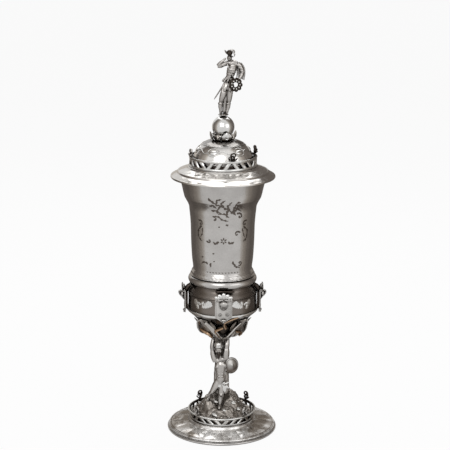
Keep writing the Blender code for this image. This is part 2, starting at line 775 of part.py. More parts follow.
def trunk_mesh(grow=0.0):
    """The trunk's outside: a gnarled column that forks into a crown."""
    foot = MOUND_TOP + GAP
    reach = STEM_TOP - foot
    keys = [
        (0.9 * TRUNK_LEAN, 0.9 * TRUNK_BACK, foot, 1.08 * TRUNK_RADIUS),
        (TRUNK_LEAN, TRUNK_BACK, foot + 0.2 * reach, TRUNK_RADIUS),
        (0.7 * TRUNK_LEAN, 0.6 * TRUNK_BACK, foot + 0.55 * reach, 0.92 * TRUNK_RADIUS),
        (0.4 * TRUNK_LEAN, 0.4 * TRUNK_BACK, STEM_TOP, 0.95 * TRUNK_RADIUS),
    ]
    path = smooth_path(keys, 3)
    for i, point in enumerate(path):
        point[3] = point[3] * (1.0 + 0.06 * math.sin(2.4 * i)) + grow
    path[0][2] -= grow
    path[-1][2] += grow
    pieces = [tube_mesh("trunk", path, 10)]
    for side, share in ((-1, 1.0), (1, 0.5)):
        fork = [
            (0.5 * TRUNK_LEAN, TRUNK_BACK, foot + 0.42 * reach, BRANCH_RADIUS + grow),
            (side * 0.7 * share * BRANCH_REACH, TRUNK_BACK, foot + 0.7 * reach, BRANCH_RADIUS + grow),
            (side * share * BRANCH_REACH, TRUNK_BACK, STEM_TOP + grow, BRANCH_RADIUS + grow),
        ]
        pieces.append(tube_mesh("fork", fork, 6))
    return united_mesh("trunk", pieces)


def stem_trunk(cup):
    """Tree trunk behind the figure, with the rod's hole along the cup's axis."""
    foot = MOUND_TOP
    hole = rod_mesh("hole", (0, 0, foot - 5 * MM), (0, 0, STEM_TOP + 5 * MM), HOLE_RADIUS, 10)
    shaped("stem_trunk", cut_mesh("stem_trunk", trunk_mesh(), [hole]), CAST, cup, 50.0)


def shield_mesh(grow=0.0):
    """Domed round shield, hung on the trunk beside the figure."""
    rise = SHIELD_THICKNESS + grow
    radius = SHIELD_RADIUS + grow
    outline = [
        (0.0, rise),
        (0.45 * radius, 0.86 * rise),
        (0.8 * radius, 0.5 * rise),
        (radius, 0.2 * rise),
        (radius, -grow),
        (0.0, -grow),
    ]
    mesh = turned_mesh("shield", outline, closed=False, steps=18)
    spin = Matrix.Rotation(math.radians(30), 4, "Z") @ Matrix.Rotation(math.radians(82), 4, "X")
    middle = FOOT_LEVEL + SHIELD_SHARE * (STEM_TOP - FOOT_LEVEL)
    mesh.transform(Matrix.Translation((SHIELD_ASIDE, -SHIELD_FORWARD, middle)) @ spin)
    return mesh


def figure_shield(cup):
    """The shield, hollowed where it lies against the trunk."""
    mesh = cut_mesh("figure_shield", shield_mesh(), [trunk_mesh(GAP)])
    shaped("figure_shield", mesh, POLISHED, cup)


def hexagon(name, base, height, radius, hole, parent):
    """Hexagonal nut on the cup's axis."""
    body = rod_mesh(name, (0, 0, base), (0, 0, base + height), radius, 6)
    bore = rod_mesh("bore", (0, 0, base - height), (0, 0, base + 2 * height), hole, 12)
    shaped(name, cut_mesh(name, body, [bore]), STEEL, parent)


def stem_rod(cup):
    """Rod through mound, trunk, calyx and bowl floor, with a nut at each end."""
    ceiling = MOUND_CEILING - GAP
    washer = ceiling - WASHER_HEIGHT
    nut = washer - GAP - NUT_HEIGHT
    bowl_nut = KNOP_BASE + WALL + GAP
    spare = 0.5 * NUT_HEIGHT
    ends = ((0, 0, nut - spare), (0, 0, bowl_nut + NUT_HEIGHT + spare))
    shaped("stem_rod", rod_mesh("stem_rod", *ends, ROD_RADIUS, 10), STEEL, cup)
    ring = [
        (WASHER_RADIUS, ceiling),
        (WASHER_RADIUS, washer),
        (HOLE_RADIUS, washer),
        (HOLE_RADIUS, ceiling),
    ]
    turned("foot_washer", ring, STEEL, cup, steps=12)
    hexagon("foot_nut", nut, NUT_HEIGHT, NUT_RADIUS, HOLE_RADIUS, cup)
    hexagon("bowl_nut", bowl_nut, NUT_HEIGHT, NUT_RADIUS, HOLE_RADIUS, cup)


def calyx_plate(cup):
    """Small plate on the figure's hands, and the spool between it and the bowl."""
    r = CALYX_PLATE_RADIUS
    plate = [
        (HOLE_RADIUS, PLATE_TOP),
        (r - 0.8 * MM, PLATE_TOP),
        (r, PLATE_TOP - 0.7 * MM),
        (r, PLATE_BASE + 0.7 * MM),
        (r - 1.4 * MM, PLATE_BASE),
        (HOLE_RADIUS, PLATE_BASE),
    ]
    turned("calyx_plate", plate, CAST, cup, steps=16)
    top = CORE_BASE + CALYX_CORE_HEIGHT
    core = [(HOLE_RADIUS, top)]
    for share, width in ((1.0, 1.0), (0.86, 1.0), (0.7, 0.62), (0.5, 0.85), (0.3, 0.62), (0.0, 1.1)):
        core.append((width * CALYX_CORE_RADIUS, CORE_BASE + share * CALYX_CORE_HEIGHT))
    core.append((HOLE_RADIUS, CORE_BASE))
    turned("calyx_core", core, CAST, cup, steps=12)


def knop_outline():
    """Outer side of the bulged lower bowl, from its neck down to the rod's hole."""
    neck = KNOP_NECK_RADIUS
    wide = KNOP_RADIUS
    swell = wide - neck
    points = [(neck, KNOP_TOP), (neck, KNOP_TOP - 0.25 * KNOP_SHOULDER_HEIGHT)]
    for share, drop in ((0.3, 0.46), (0.8, 0.76)):
        points.append((neck + share * swell, KNOP_TOP - drop * KNOP_SHOULDER_HEIGHT))
    points += [
        (wide, KNOP_SHOULDER),
        (wide, KNOP_BAND + KNOP_RING_HEIGHT),
        (wide - 0.6 * MM, KNOP_BAND),
    ]
    reach = wide - KNOP_FLOOR_RADIUS
    for share, rise in ((0.83, 0.76), (0.62, 0.4), (0.0, 0.0)):
        radius = KNOP_FLOOR_RADIUS + share * reach
        points.append((radius, KNOP_BASE + rise * KNOP_TAPER_HEIGHT))
    return points + [(HOLE_RADIUS, KNOP_BASE)]


def knop_bowl(cup):
    """Bulged lower bowl, open to the beaker, with the moulding under its band."""
    outer = knop_outline()
    inner = offset_outline(outer, WALL)
    hidden = [inner[i] for i in (10, 9, 7, 6, 4, 3, 1, 0)]
    turned("knop_bowl", outer + hidden, POLISHED, cup)
    inside = KNOP_RADIUS + GAP
    proud = inside + KNOP_RING_PROUD
    low = KNOP_BAND + 0.5 * KNOP_RING_HEIGHT
    ring = [
        (inside, low + KNOP_RING_HEIGHT),
        (proud, low + 0.75 * KNOP_RING_HEIGHT),
        (proud, low + 0.25 * KNOP_RING_HEIGHT),
        (inside, low),
    ]
    turned("knop_rim_ring", ring, POLISHED, cup)


def calyx_scroll(cup, names):
    """Four scroll arms of the open basket, from the plate's rim up under the bowl."""
    wire = CALYX_SCROLL_WIRE
    curl = 3.2 * MM
    eye_radius = 0.64 * KNOP_RADIUS
    under = height_on(knop_outline(), eye_radius)
    eye = (eye_radius, under - GAP - 1.3 * (curl + wire))
    rise = eye[1] - PLATE_TOP
    coil = volute(eye, 0.45 * curl, curl, 250, -25, 7)
    shoulder = (eye[0] + 0.6 * curl, PLATE_TOP + 0.34 * rise)
    elbow = (0.5 * (eye[0] + CALYX_PLATE_RADIUS), PLATE_TOP)
    foot = (CALYX_PLATE_RADIUS + GAP, PLATE_BASE + 0.5 * CALYX_PLATE_HEIGHT)
    path = [(r, z, wire) for r, z in coil] + [(*shoulder, 1.1 * wire), (*elbow, wire)]
    path.append((*foot, 0.8 * wire))
    mesh = tube_mesh("calyx_scroll", [(0.0, -r, z, w) for r, z, w in path], 4)
    for i, name in enumerate(names):
        copy = mesh.copy()
        copy.transform(around(BRACKET_TURN + 90.0 * i, 0.0))
        shaped(f"calyx_scroll_{name}", copy, CAST, cup, 60.0)


def calyx_leaf(cup, names):
    """Four lobed leaves of the open basket, cupped sheets between the scrolls."""
    low = CALYX_PLATE_RADIUS + GAP + CALYX_LEAF_WALL
    tip = 0.76 * KNOP_RADIUS
    under = height_on(knop_outline(), tip) - GAP - CALYX_LEAF_WALL
    base = PLATE_BASE + CALYX_LEAF_WALL
    rise = under - base
    shape = bmesh.new()
    bmesh.ops.create_grid(shape, x_segments=4, y_segments=5, size=0.5)
    for vertex in shape.verts:
        across = 2.0 * vertex.co.x
        along = vertex.co.y + 0.5
        lobes = 0.22 * abs(math.sin(2.5 * math.pi * along))
        width = CALYX_LEAF_WIDTH * (0.34 + 0.66 * math.sin(0.62 * math.pi * along) + lobes) / 2
        belly = CALYX_LEAF_BELLY * math.sin(math.pi * along)
        radius = low + (tip - low) * along ** 0.8 + belly
        radius -= 1.4 * MM * across * across
        height = base + rise * along ** 1.25
        vertex.co = (across * width, -radius, height)
    mesh = bpy.data.meshes.new("calyx_leaf")
    shape.to_mesh(mesh)
    shape.free()
    for i, name in enumerate(names):
        copy = mesh.copy()
        copy.transform(around(BRACKET_TURN + 45.0 + 90.0 * i, 0.0))
        obj = shaped(f"calyx_leaf_{name}", copy, CAST, cup, 60.0)
        sheet = obj.modifiers.new("sheet", "SOLIDIFY")
        sheet.thickness = CALYX_LEAF_WALL
        sheet.offset = 0.0


def bracket_outline():
    """Front view of a strap bracket: pointed foot, straight sides and a lobed leaf on top."""
    half = BRACKET_WIDTH / 2
    square = BRACKET_POINT + BRACKET_HEIGHT
    right = [
        (0.5 * half, 0.42 * BRACKET_POINT),
        (half, BRACKET_POINT),
        (half, square),
        (0.62 * half, square + 0.12 * BRACKET_CREST),
        (0.8 * half, square + 0.5 * BRACKET_CREST),
        (0.42 * half, square + 0.45 * BRACKET_CREST),
        (0.3 * half, square + 0.85 * BRACKET_CREST),
    ]
    left = [(-x, z) for x, z in reversed(right)]
    return [(0.0, 0.0)] + right + [(0.0, square + BRACKET_CREST)] + left


def strap_brackets(cup, names):
    """Four cast straps that stand off the bulge, each with rolls, two bosses, a pad and an arm."""
    base = KNOP_BAND - 0.63 * BRACKET_POINT
    back = KNOP_RADIUS + BRACKET_STANDOFF
    middle = back + BRACKET_THICKNESS / 2
    square = BRACKET_POINT + BRACKET_HEIGHT
    plate = plate_mesh("plate", bracket_outline(), BRACKET_THICKNESS)
    plate.transform(Matrix.Translation((0.0, -middle, base)))
    top = base + square
    face = back + BRACKET_THICKNESS
    pieces = [plate]
    for share, height, radius in ROLLS:
        reach = share * BRACKET_WIDTH / 2
        centre = (0.0, -(face + 0.45 * radius), base + height)
        pieces.append(ball_mesh("roll", centre, (reach, radius, radius), (3.0, 0.0, 0.0), 6))
    half = BRACKET_PAD_WIDTH / 2
    low = KNOP_BAND + 2 * KNOP_RING_HEIGHT
    pad = block((-half, -middle, low), (half, -KNOP_RADIUS - GAP, KNOP_SHOULDER - GAP))
    pieces.append(pad)
    for side in (-1, 1):
        x = side * 0.42 * BRACKET_WIDTH / 2
        z = base + BRACKET_POINT + 2.6 * MM
        pieces.append(rod_mesh("boss", (x, -middle, z), (x, -face - BOSS_PROUD, z), BOSS_RADIUS, 6))
    neck = KNOP_NECK_RADIUS + GAP
    wire = BRACKET_WIRE
    end = KNOP_TOP - 0.9 * wire
    arm = [(middle, top - wire, wire), (0.5 * (middle + neck), 0.5 * (top + end) + 0.5 * wire, 0.9 * wire)]
    arm += [(neck + wire, end, 0.6 * wire), (neck, end, 0.6 * wire)]
    pieces.append(tube_mesh("arm", [(0.0, -r, z, w) for r, z, w in arm], 4))
    mesh = united_mesh("strap_bracket", pieces)
    for i, name in enumerate(names):
        copy = mesh.copy()
        copy.transform(around(BRACKET_TURN + 90.0 * i, 0.0))
        shaped(f"strap_bracket_{name}", copy, CAST, cup)


def torus_ring(cup):
    """Large half round moulding, threaded on the beaker's spigot."""
    inside = SPIGOT_RADIUS + GAP
    middle = TORUS_BASE + TORUS_HEIGHT / 2
    start = KNOP_NECK_RADIUS + 0.8 * MM
    outline = [(inside, TORUS_BASE + TORUS_HEIGHT)]
    for i in range(5):
        angle = math.pi / 2 - math.pi * i / 4
        radius = start + (TORUS_RADIUS - start) * math.cos(angle)
        outline.append((radius, middle + math.sin(angle) * TORUS_HEIGHT / 2))
    outline.append((inside, TORUS_BASE))
    turned("torus_ring", outline, POLISHED, cup)


def beaker_outline():
    """Outer side of the beaker above its spigot, from the lip down."""
    waist = BEAKER_BASE + BEAKER_WAIST_HEIGHT
    flare = BEAKER_BASE + BEAKER_FLARE_HEIGHT
    swell = BEAKER_FLARE_RADIUS - BEAKER_WAIST_RADIUS
    lip = BEAKER_LIP_RADIUS - BEAKER_FLARE_RADIUS
    points = [(BEAKER_LIP_RADIUS, LIP_TOP)]
    points.append((BEAKER_FLARE_RADIUS + 0.42 * lip, flare + 0.42 * (LIP_TOP - flare)))
    for share, height in ((1.0, 1.0), (0.82, 0.78), (0.42, 0.53), (0.0, 0.0)):
        radius = BEAKER_WAIST_RADIUS + share * swell
        points.append((radius, waist + height * (flare - waist)))
    body = BEAKER_WAIST_RADIUS - BEAKER_FOOT_RADIUS
    low = BEAKER_BASE + 2 * BEAKER_BEAD_HEIGHT
    for share, height in ((0.5, 0.5), (0.0, 0.0)):
        points.append((BEAKER_FOOT_RADIUS + share * body, low + height * (waist - low)))
    return points


def beaker(cup):
    """Tall beaker with a flared lip, a bead at its foot and a spigot that enters the neck."""
    outer = beaker_outline()
    bead = [
        (BEAKER_FOOT_RADIUS, BEAKER_BASE + BEAKER_BEAD_HEIGHT),
        (BEAKER_BEAD_RADIUS, BEAKER_BASE + 0.7 * BEAKER_BEAD_HEIGHT),
        (BEAKER_BEAD_RADIUS, BEAKER_BASE),
        (SPIGOT_RADIUS, BEAKER_BASE),
        (SPIGOT_RADIUS, BEAKER_BASE - SPIGOT_DEPTH),
        (SPIGOT_RADIUS - WALL, BEAKER_BASE - SPIGOT_DEPTH),
        (SPIGOT_RADIUS - WALL, BEAKER_BASE + BEAKER_BEAD_HEIGHT),
    ]
    inner = [(outer[i][0] - WALL, outer[i][1]) for i in (7, 5, 4, 2, 0)]
    turned("beaker", outer + bead + inner, POLISHED, cup)
    inside = BEAKER_LIP_RADIUS + GAP
    middle = (inside + LIP_WIRE, LIP_TOP - LIP_WIRE)
    turned("lip_wire", arc(middle, LIP_WIRE, 180, -108, 5), POLISHED, cup)


def brim_outline():
    """Upper side of the brim, from the shelf that carries the dome out to the edge."""
    shelf_in = DOME_RADIUS - WALL
    shelf_out = COVER_GALLERY_RADIUS + 2.2 * MM
    step = BEAKER_LIP_RADIUS + 0.12 * BRIM_OVERHANG
    edge = SEAT - BRIM_DROP + BRIM_EDGE
    reach = step - shelf_out
    points = [(shelf_in, BRIM_TOP), (shelf_out, BRIM_TOP)]
    for share, rise in ((0.4, 0.66), (1.0, 0.33)):
        points.append((shelf_out + share * reach, SEAT + rise * BRIM_RISE))
    fall = SEAT + 0.17 * BRIM_RISE - edge
    points.append((step + 0.7 * MM, edge + fall))
    return points + [(BRIM_RADIUS - 0.6 * MM, edge), (BRIM_RADIUS, edge - 0.3 * BRIM_EDGE)]


def brim_underside():
    """Lower side of the brim inside the seat, from the shelf outwards."""
    shelf = brim_outline()[:4]
    return [(radius - 0.6 * WALL, height - 1.1 * WALL) for radius, height in shelf]


def bezel_radius():
    """Outer radius of the collar, which clears the beaker's mouth at its deepest."""
    return radius_on(beaker_outline(), SEAT - BEZEL_DEPTH) - WALL - BEZEL_FIT


def cover_brim(cover):
    """Stepped brim, with a flat seat under it that rests on the beaker's lip."""
    seat_in = bezel_radius() + GAP
    edge = SEAT - BRIM_DROP
    under = brim_underside()
    roof = height_on(under, seat_in)
    lower = [
        (BRIM_RADIUS, edge + 0.3 * BRIM_EDGE),
        (BRIM_RADIUS - 0.6 * MM, edge),
        (BRIM_RADIUS - 1.6 * MM, edge + 0.2 * MM),
        (0.5 * (BEAKER_LIP_RADIUS + BRIM_RADIUS), 0.5 * (SEAT + edge)),
        (BEAKER_LIP_RADIUS + 0.2 * BRIM_OVERHANG, SEAT),
        (seat_in, SEAT),
        (seat_in, roof),
    ]
    inside = [point for point in reversed(under) if point[0] < seat_in - 0.5 * MM]
    inside[-1] = (DOME_RADIUS - WALL, inside[-1][1])
    turned("cover_brim", brim_outline() + lower + inside, POLISHED, cover)


def cover_bezel(cover):
    """Collar under the brim that keeps the cover on the mouth."""
    outside = bezel_radius()
    inside = outside - WALL
    under = brim_underside()
    ring = [
        (outside, height_on(under, outside) - 2 * GAP),
        (outside, SEAT - BEZEL_DEPTH),
        (inside, SEAT - BEZEL_DEPTH),
        (inside, height_on(under, inside) - 2 * GAP),
    ]
    turned("cover_bezel", ring, POLISHED, cover)


def cover_dome(cover):
    """Low dome on the brim's shelf, pierced for the finial's rod."""
    outer = [(FINIAL_HOLE_RADIUS, DOME_TOP)]
    reach = DOME_RADIUS - DOME_CROWN_RADIUS
    for i in range(6):
        angle = math.pi / 2 * (1 - i / 5)
        radius = DOME_CROWN_RADIUS + reach * math.cos(angle)
        outer.append((radius, DOME_BASE + DOME_HEIGHT * math.sin(angle)))
    inner = [(radius - WALL, height - WALL) for radius, height in reversed(outer[1:-1])]
    wall = [(DOME_RADIUS - WALL, DOME_BASE)] + inner + [(FINIAL_HOLE_RADIUS, DOME_TOP - WALL)]
    turned("cover_dome", outer + wall, POLISHED, cover)


def finial_calyx(cover):
    """Leaf cup that the ball lies in: a turned cup with four curled leaves."""
    r = FINIAL_CALYX_RADIUS
    seat = BALL_RADIUS + GAP
    top = FINIAL_BASE + FINIAL_CALYX_HEIGHT
    inner_top = math.sqrt(seat ** 2 - (BALL_HEIGHT - top) ** 2)
    outline = [(inner_top, top), (inner_top + 0.8 * MM, top)]
    for share, rise in ((0.78, 0.55), (0.62, 0.28), (0.86, 0.12), (0.86, 0.0)):
        outline.append((share * r, FINIAL_BASE + rise * FINIAL_CALYX_HEIGHT))
    outline += [(FINIAL_HOLE_RADIUS, FINIAL_BASE), (FINIAL_HOLE_RADIUS, FINIAL_BASE + WALL)]
    for share in (0.4, 0.75):
        radius = share * inner_top
        outline.append((radius, BALL_HEIGHT - math.sqrt(seat ** 2 - radius ** 2)))
    pieces = [turned_mesh("cup", outline, steps=12)]
    curl = FINIAL_CALYX_CURL
    eye = (inner_top + 0.8 * MM + 0.6 * curl, top - 0.6 * curl)
    for i in range(4):
        path = [(0.8 * r, FINIAL_BASE + 0.4 * FINIAL_CALYX_HEIGHT)]
        path += volute(eye, 1.3 * curl, 0.5 * curl, 200, -60, 4)
        wire = [(0.0, -radius, z, 0.8 * MM) for radius, z in path]
        leaf = tube_mesh("leaf", wire, 4)
        leaf.transform(around(COVER_CREST_TURN + 90.0 * i, 0.0))
        pieces.append(leaf)
    shaped("finial_calyx", united_mesh("finial_calyx", pieces), CAST, cover, 50.0)


def finial_ball(cover):
    """Ball on the rod, and the rod with its nut under the dome."""
    start = math.degrees(math.acos(FINIAL_HOLE_RADIUS / BALL_RADIUS))
    outline = arc((0.0, BALL_HEIGHT), BALL_RADIUS, start, -start, 8)
    turned("finial_ball", outline, POLISHED, cover, steps=16)
    nut = DOME_TOP - WALL - GAP - FINIAL_NUT_HEIGHT
    ends = ((0, 0, nut - 0.5 * FINIAL_NUT_HEIGHT), (0, 0, PLINTH_BASE + 0.6 * PLINTH_HEIGHT))
    shaped("finial_rod", rod_mesh("finial_rod", *ends, FINIAL_ROD_RADIUS, 8), STEEL, cover)
    hexagon("finial_nut", nut, FINIAL_NUT_HEIGHT, FINIAL_NUT_RADIUS, FINIAL_HOLE_RADIUS, cover)


def finial_key(x, y, z, radius, grow=0.0):
    """A key of the finial figure, drawn 65.7 high above its soles, in the cup."""
    size = FINIAL_FIGURE_HEIGHT / 65.7
    return (x * size, y * size, PLINTH_TOP + z * size, radius * size + grow)


def finial_lump(centre, radii, turn=(0.0, 0.0, 0.0), segments=12):
    """A rounded mass of the finial figure."""
    x, y, z, _ = finial_key(*centre, 0.0)
    size = FINIAL_FIGURE_HEIGHT / 65.7
    return ball_mesh("lump", (x, y, z), [r * size for r in radii], turn, segments)


def wreath_mesh(grow=0.0):
    """Small open wreath of curled leaves: a ring with lumps around it."""
    outline = arc((WREATH_RADIUS, 0.0), WREATH_WIRE + grow, 180, -108, 5)
    mesh = turned_mesh("wreath", outline, steps=16)
    for vertex in mesh.vertices:
        bearing = math.atan2(vertex.co.y, vertex.co.x)
        lump = 1.0 + 0.06 * math.cos(8 * bearing)
        vertex.co.x *= lump
        vertex.co.y *= lump
    x, y, z, _ = finial_key(12.0, -6.0, 29.6, 0.0)
    spin = Matrix.Rotation(math.radians(12), 4, "Z") @ Matrix.Rotation(math.radians(84), 4, "X")
    mesh.transform(Matrix.Translation((x, y, z)) @ spin)
    return mesh


def sword_mesh(grow=0.0):
    """Slim sword that hangs behind the figure."""
    hilt = finial_key(3.4, 3.6, 34.0, 0.0)[:3]
    tip = finial_key(-8.6, 4.6, 11.6, 0.0)[:3]
    path = [(*hilt, SWORD_WIRE + grow), (*tip, 0.75 * SWORD_WIRE + grow)]
    return tube_mesh("blade", path, 6)


def finial_figure(cover):
    """Costumed figure in a plumed hat, an arm raised and one at the hip, a stump behind the legs."""
    key = finial_key
    plinth = rod_mesh("plinth", (0, 0, PLINTH_BASE), (0, 0, PLINTH_TOP), PLINTH_RADIUS, 16)
    pieces = [
        plinth,
        limb([(-2.9, 0, 0.4, 1.7), (-3.2, -0.3, 6, 1.9), (-2.6, -0.8, 12.6, 2.3)], key),
        limb([(-2.6, -0.8, 12.6, 2.6), (0.2, -0.6, 21, 3.4), (2.8, 0, 29, 3.8)], key),
        limb([(3.4, -0.6, 0.4, 1.7), (4.8, -0.2, 6, 1.9), (5.8, 0, 11.6, 2.3)], key),
        limb([(5.8, 0, 11.6, 2.6), (6.4, 0, 20, 3.4), (6.6, 0, 29, 3.8)], key),
        limb([(0.8, 1.4, 0.4, 2.2), (1.4, 1.8, 12, 2.4), (2.2, 1.4, 22, 2.4)], key),
        limb([(4.9, 0, 26.0, 6.2), (4.6, 0, 31, 5.9), (4.8, 0, 34.4, 5.3), (5.9, 0, 38, 3.8)], key),
        limb([(5.8, 0, 37, 3.8), (7.8, 0, 43.5, 4.9), (9.0, 0, 49, 5.0)], key),
        limb([(4.8, 0, 52.0, 2.8), (9.2, 0.4, 51.8, 3.4), (13.8, 0, 51.0, 2.8)], key),
        limb([(8.2, 0, 51, 2.2), (6.4, 0, 55.5, 1.9)], key),
        finial_lump((5.9, -0.4, 57.4), (2.9, 3.3, 3.7), (0, 14, 0)),
        limb([(4.4, 0, 52, 2.5), (-1.0, -1.2, 49.6, 2.2), (-5.6, -2, 48.8, 2.0)], key),
        limb([(-5.6, -2, 48.8, 2.0), (-2.6, -3, 52.6, 1.8), (1.4, -3.2, 56.0, 1.6)], key),
        limb([(14.4, 0, 51, 2.6), (17.8, 0, 46.6, 2.3), (19.2, 0.4, 42.0, 2.1)], key),
        limb([(19.2, 0.4, 42.0, 2.1), (17.6, -2, 37.6, 1.8), (14.2, -3, 35.0, 1.6)], key),
        finial_lump((5.2, 0, 60.6), (5.6, 5.2, 1.0), (0, 38, 0)),
        finial_lump((4.6, 0, 62.6), (2.9, 3.0, 2.8), (0, 24, 0)),
        limb([(5.0, 1.4, 62.6, 1.0), (8.2, 1.6, 65.4, 1.5), (11.2, 1.6, 63.0, 0.9)], key),
    ]
    mesh = cast_mesh("finial_figure", pieces, 0.8 * CAST_VOXEL, FIGURE_TRIANGLES)
    start = (0, 0, PLINTH_BASE - PLINTH_HEIGHT)
    end = (0, 0, PLINTH_BASE + 0.75 * PLINTH_HEIGHT)
    socket = rod_mesh("socket", start, end, FINIAL_HOLE_RADIUS, 8)
    deep = 3 * PLINTH_RADIUS
    under = block((-deep, -deep, PLINTH_BASE - deep), (deep, deep, PLINTH_BASE))
    cutters = [socket, under, wreath_mesh(GAP), sword_mesh(GAP)]
    shaped("finial_figure", cut_mesh("finial_figure", mesh, cutters), CAST, cover, 50.0)
    shaped("finial_wreath", wreath_mesh(), CAST, cover, 50.0)
    shaped("finial_sword", sword_mesh(), CAST, cover)


def build_cup(cup):
    """Everything that stays on the table when the cover is lifted."""
    sides = ("front", "right", "back", "left")
    corners = ("front_right", "back_right", "back_left", "front_left")
    foot_ring(cup)
    foot_flange(cup)
    gallery(
        "foot_gallery",
        FOOT_GALLERY_RADIUS,
        FOOT_GALLERY_FLARE,
        FOOT_GALLERY_HEIGHT,
        SHELF_TOP,
        FOOT_CREST_TURN,
        cup,
    )
    rail = FOOT_GALLERY_RADIUS + FOOT_GALLERY_FLARE
    top = SHELF_TOP + FOOT_GALLERY_HEIGHT
    crests("foot_crest", corners, FOOT_CREST_TURN, rail, top, FOOT_CREST_HEIGHT, cup)
    ground_mound(cup)
    stem_figure(cup)
    stem_trunk(cup)
    figure_shield(cup)
    stem_rod(cup)
    calyx_plate(cup)
    calyx_scroll(cup, sides)
    calyx_leaf(cup, corners)
    knop_bowl(cup)
    strap_brackets(cup, sides)
    torus_ring(cup)
    beaker(cup)


def build_cover(cover):
    """Everything that lifts off together."""
    cover_brim(cover)
    cover_bezel(cover)
    cover_dome(cover)
    base = BRIM_TOP + GAP
    gallery(
        "cover_gallery",
        COVER_GALLERY_RADIUS,
        0.0,
        COVER_GALLERY_HEIGHT,
        base,
        COVER_CREST_TURN,
        cover,
    )
    sides = ("front", "right", "back", "left")
    top = base + COVER_GALLERY_HEIGHT
    radius = COVER_GALLERY_RADIUS
    crests("cover_crest", sides, COVER_CREST_TURN, radius, top, COVER_CREST_HEIGHT, cover)
    finial_calyx(cover)
    finial_ball(cover)
    finial_figure(cover)


def main():
    """Build the whole cup."""
    clear_scene()
    build_cup(body_empty("cup", 0.0))
    build_cover(body_empty("cover", SEAT))


main()
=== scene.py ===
"""Looks of the lidded standing cup: silver, chasing, cast figures, camera and studio.

Lengths are in millimetres and are scaled to metres when a mesh is finished.
The origin is the middle of the foot, +Z is up and the front is -Y. Bearings run from the front
towards the viewer's right, in degrees.
"""

import random
from math import asin, atan2, cos, degrees, exp, hypot, pi, radians, sin, tau

import bmesh
import bpy
from mathutils import Matrix, Vector, noise


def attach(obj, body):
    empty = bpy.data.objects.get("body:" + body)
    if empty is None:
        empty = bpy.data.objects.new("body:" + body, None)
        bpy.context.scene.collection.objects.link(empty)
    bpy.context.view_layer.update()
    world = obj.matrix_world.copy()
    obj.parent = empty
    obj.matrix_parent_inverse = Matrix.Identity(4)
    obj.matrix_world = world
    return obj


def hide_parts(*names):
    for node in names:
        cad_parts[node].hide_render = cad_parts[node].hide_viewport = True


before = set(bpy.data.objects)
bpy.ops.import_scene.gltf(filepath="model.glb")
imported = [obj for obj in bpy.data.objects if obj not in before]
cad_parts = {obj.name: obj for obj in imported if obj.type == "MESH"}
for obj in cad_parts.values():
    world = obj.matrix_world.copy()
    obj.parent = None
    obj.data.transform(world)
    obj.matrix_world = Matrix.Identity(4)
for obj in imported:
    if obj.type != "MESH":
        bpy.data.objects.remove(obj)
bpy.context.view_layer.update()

MM = 0.001
SIDES = ("front", "right", "back", "left")
CORNERS = ("front_right", "back_right", "back_left", "front_left")

# Heights of the cup's pieces, as the CAD has them
SHELF_TOP = 11.0
MOUND_TOP = 37.0
FOOT_LEVEL = 27.0
STEM_TOP = 100.6
PLATE_TOP = 102.9
KNOP_BASE = 114.7
TORUS_BASE = 158.4
SEAT = 273.3
BRIM_TOP = 281.1
DOME_BASE = 281.4
DOME_TOP = 307.4
BALL_HEIGHT = 320.5
PLINTH_BASE = 332.1
PLINTH_TOP = 334.3

# Other sizes, and the bearings of what repeats round the cup
WALL = 1.2
BALL_RADIUS = 11.3
BRACKET_FACE = 39.15
BRACKET_TURN = 2.0
FOOT_CREST_TURN = 43.0
COVER_CREST_TURN = 18.0
SLATS = 24


# Mesh tools


def polar(bearing, radius, height):
    """A point at a bearing in degrees."""
    a = radians(bearing)
    return Vector((radius * sin(a), -radius * cos(a), height))


def spin(angle, axis="Z"):
    """A turn by an angle in degrees."""
    return Matrix.Rotation(radians(angle), 4, axis)


def in_scene(name, data):
    """A new object in the scene."""
    obj = bpy.data.objects.new(name, data)
    bpy.context.scene.collection.objects.link(obj)
    return obj


def finished(name, shape):
    """The mesh of a bmesh in millimetres."""
    mesh = bpy.data.meshes.new(name)
    shape.to_mesh(mesh)
    shape.free()
    mesh.transform(Matrix.Scale(MM, 4))
    return mesh


def mesh_of(name, shape):
    """The mesh of a bmesh in millimetres, welded, with its faces turned outwards."""
    bmesh.ops.remove_doubles(shape, verts=shape.verts, dist=0.004)
    bmesh.ops.recalc_face_normals(shape, faces=shape.faces)
    return finished(name, shape)


def add_mesh(shape, mesh, place=Matrix()):
    """Adds a finished mesh, moved to its place, to a bmesh in millimetres."""
    mesh.transform(Matrix.Scale(1 / MM, 4))
    mesh.transform(place)
    shape.from_mesh(mesh)
    bpy.data.meshes.remove(mesh)


def piece(name, mesh, look, body, nodes=(), angle=40):
    """A finished piece: shaded, in its metal, riding on its body and standing for its CAD nodes."""
    material, slot = look
    mesh.shade_smooth()
    mesh.set_sharp_from_angle(angle=radians(angle))
    mesh.materials.clear()
    mesh.materials.append(material)
    obj = in_scene(name, mesh)
    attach(obj, body)
    if nodes:
        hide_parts(*nodes)
    return obj


def cast(name, shape, look, body, nodes=(), angle=40, place=Matrix()):
    """A piece from a bmesh, moved to its place."""
    mesh = mesh_of(name, shape)
    mesh.transform(place)
    return piece(name, mesh, look, body, nodes, angle)


def fair(keys, spans=4):
    """Points on a smooth curve through the keys, which are tuples of any length."""
    keys = [Vector(key) for key in keys]
    points = []
    for i in range(len(keys) - 1):
        a = keys[max(i - 1, 0)]
        b = keys[i]
        c = keys[i + 1]
        d = keys[min(i + 2, len(keys) - 1)]
        for step in range(spans):
            t = step / spans
            bend = (2 * b) + (c - a) * t + (2 * a - 5 * b + 4 * c - d) * t * t
            points.append(tuple((bend + (3 * b - a - 3 * c + d) * t ** 3) / 2))
    points.append(tuple(keys[-1]))
    return points


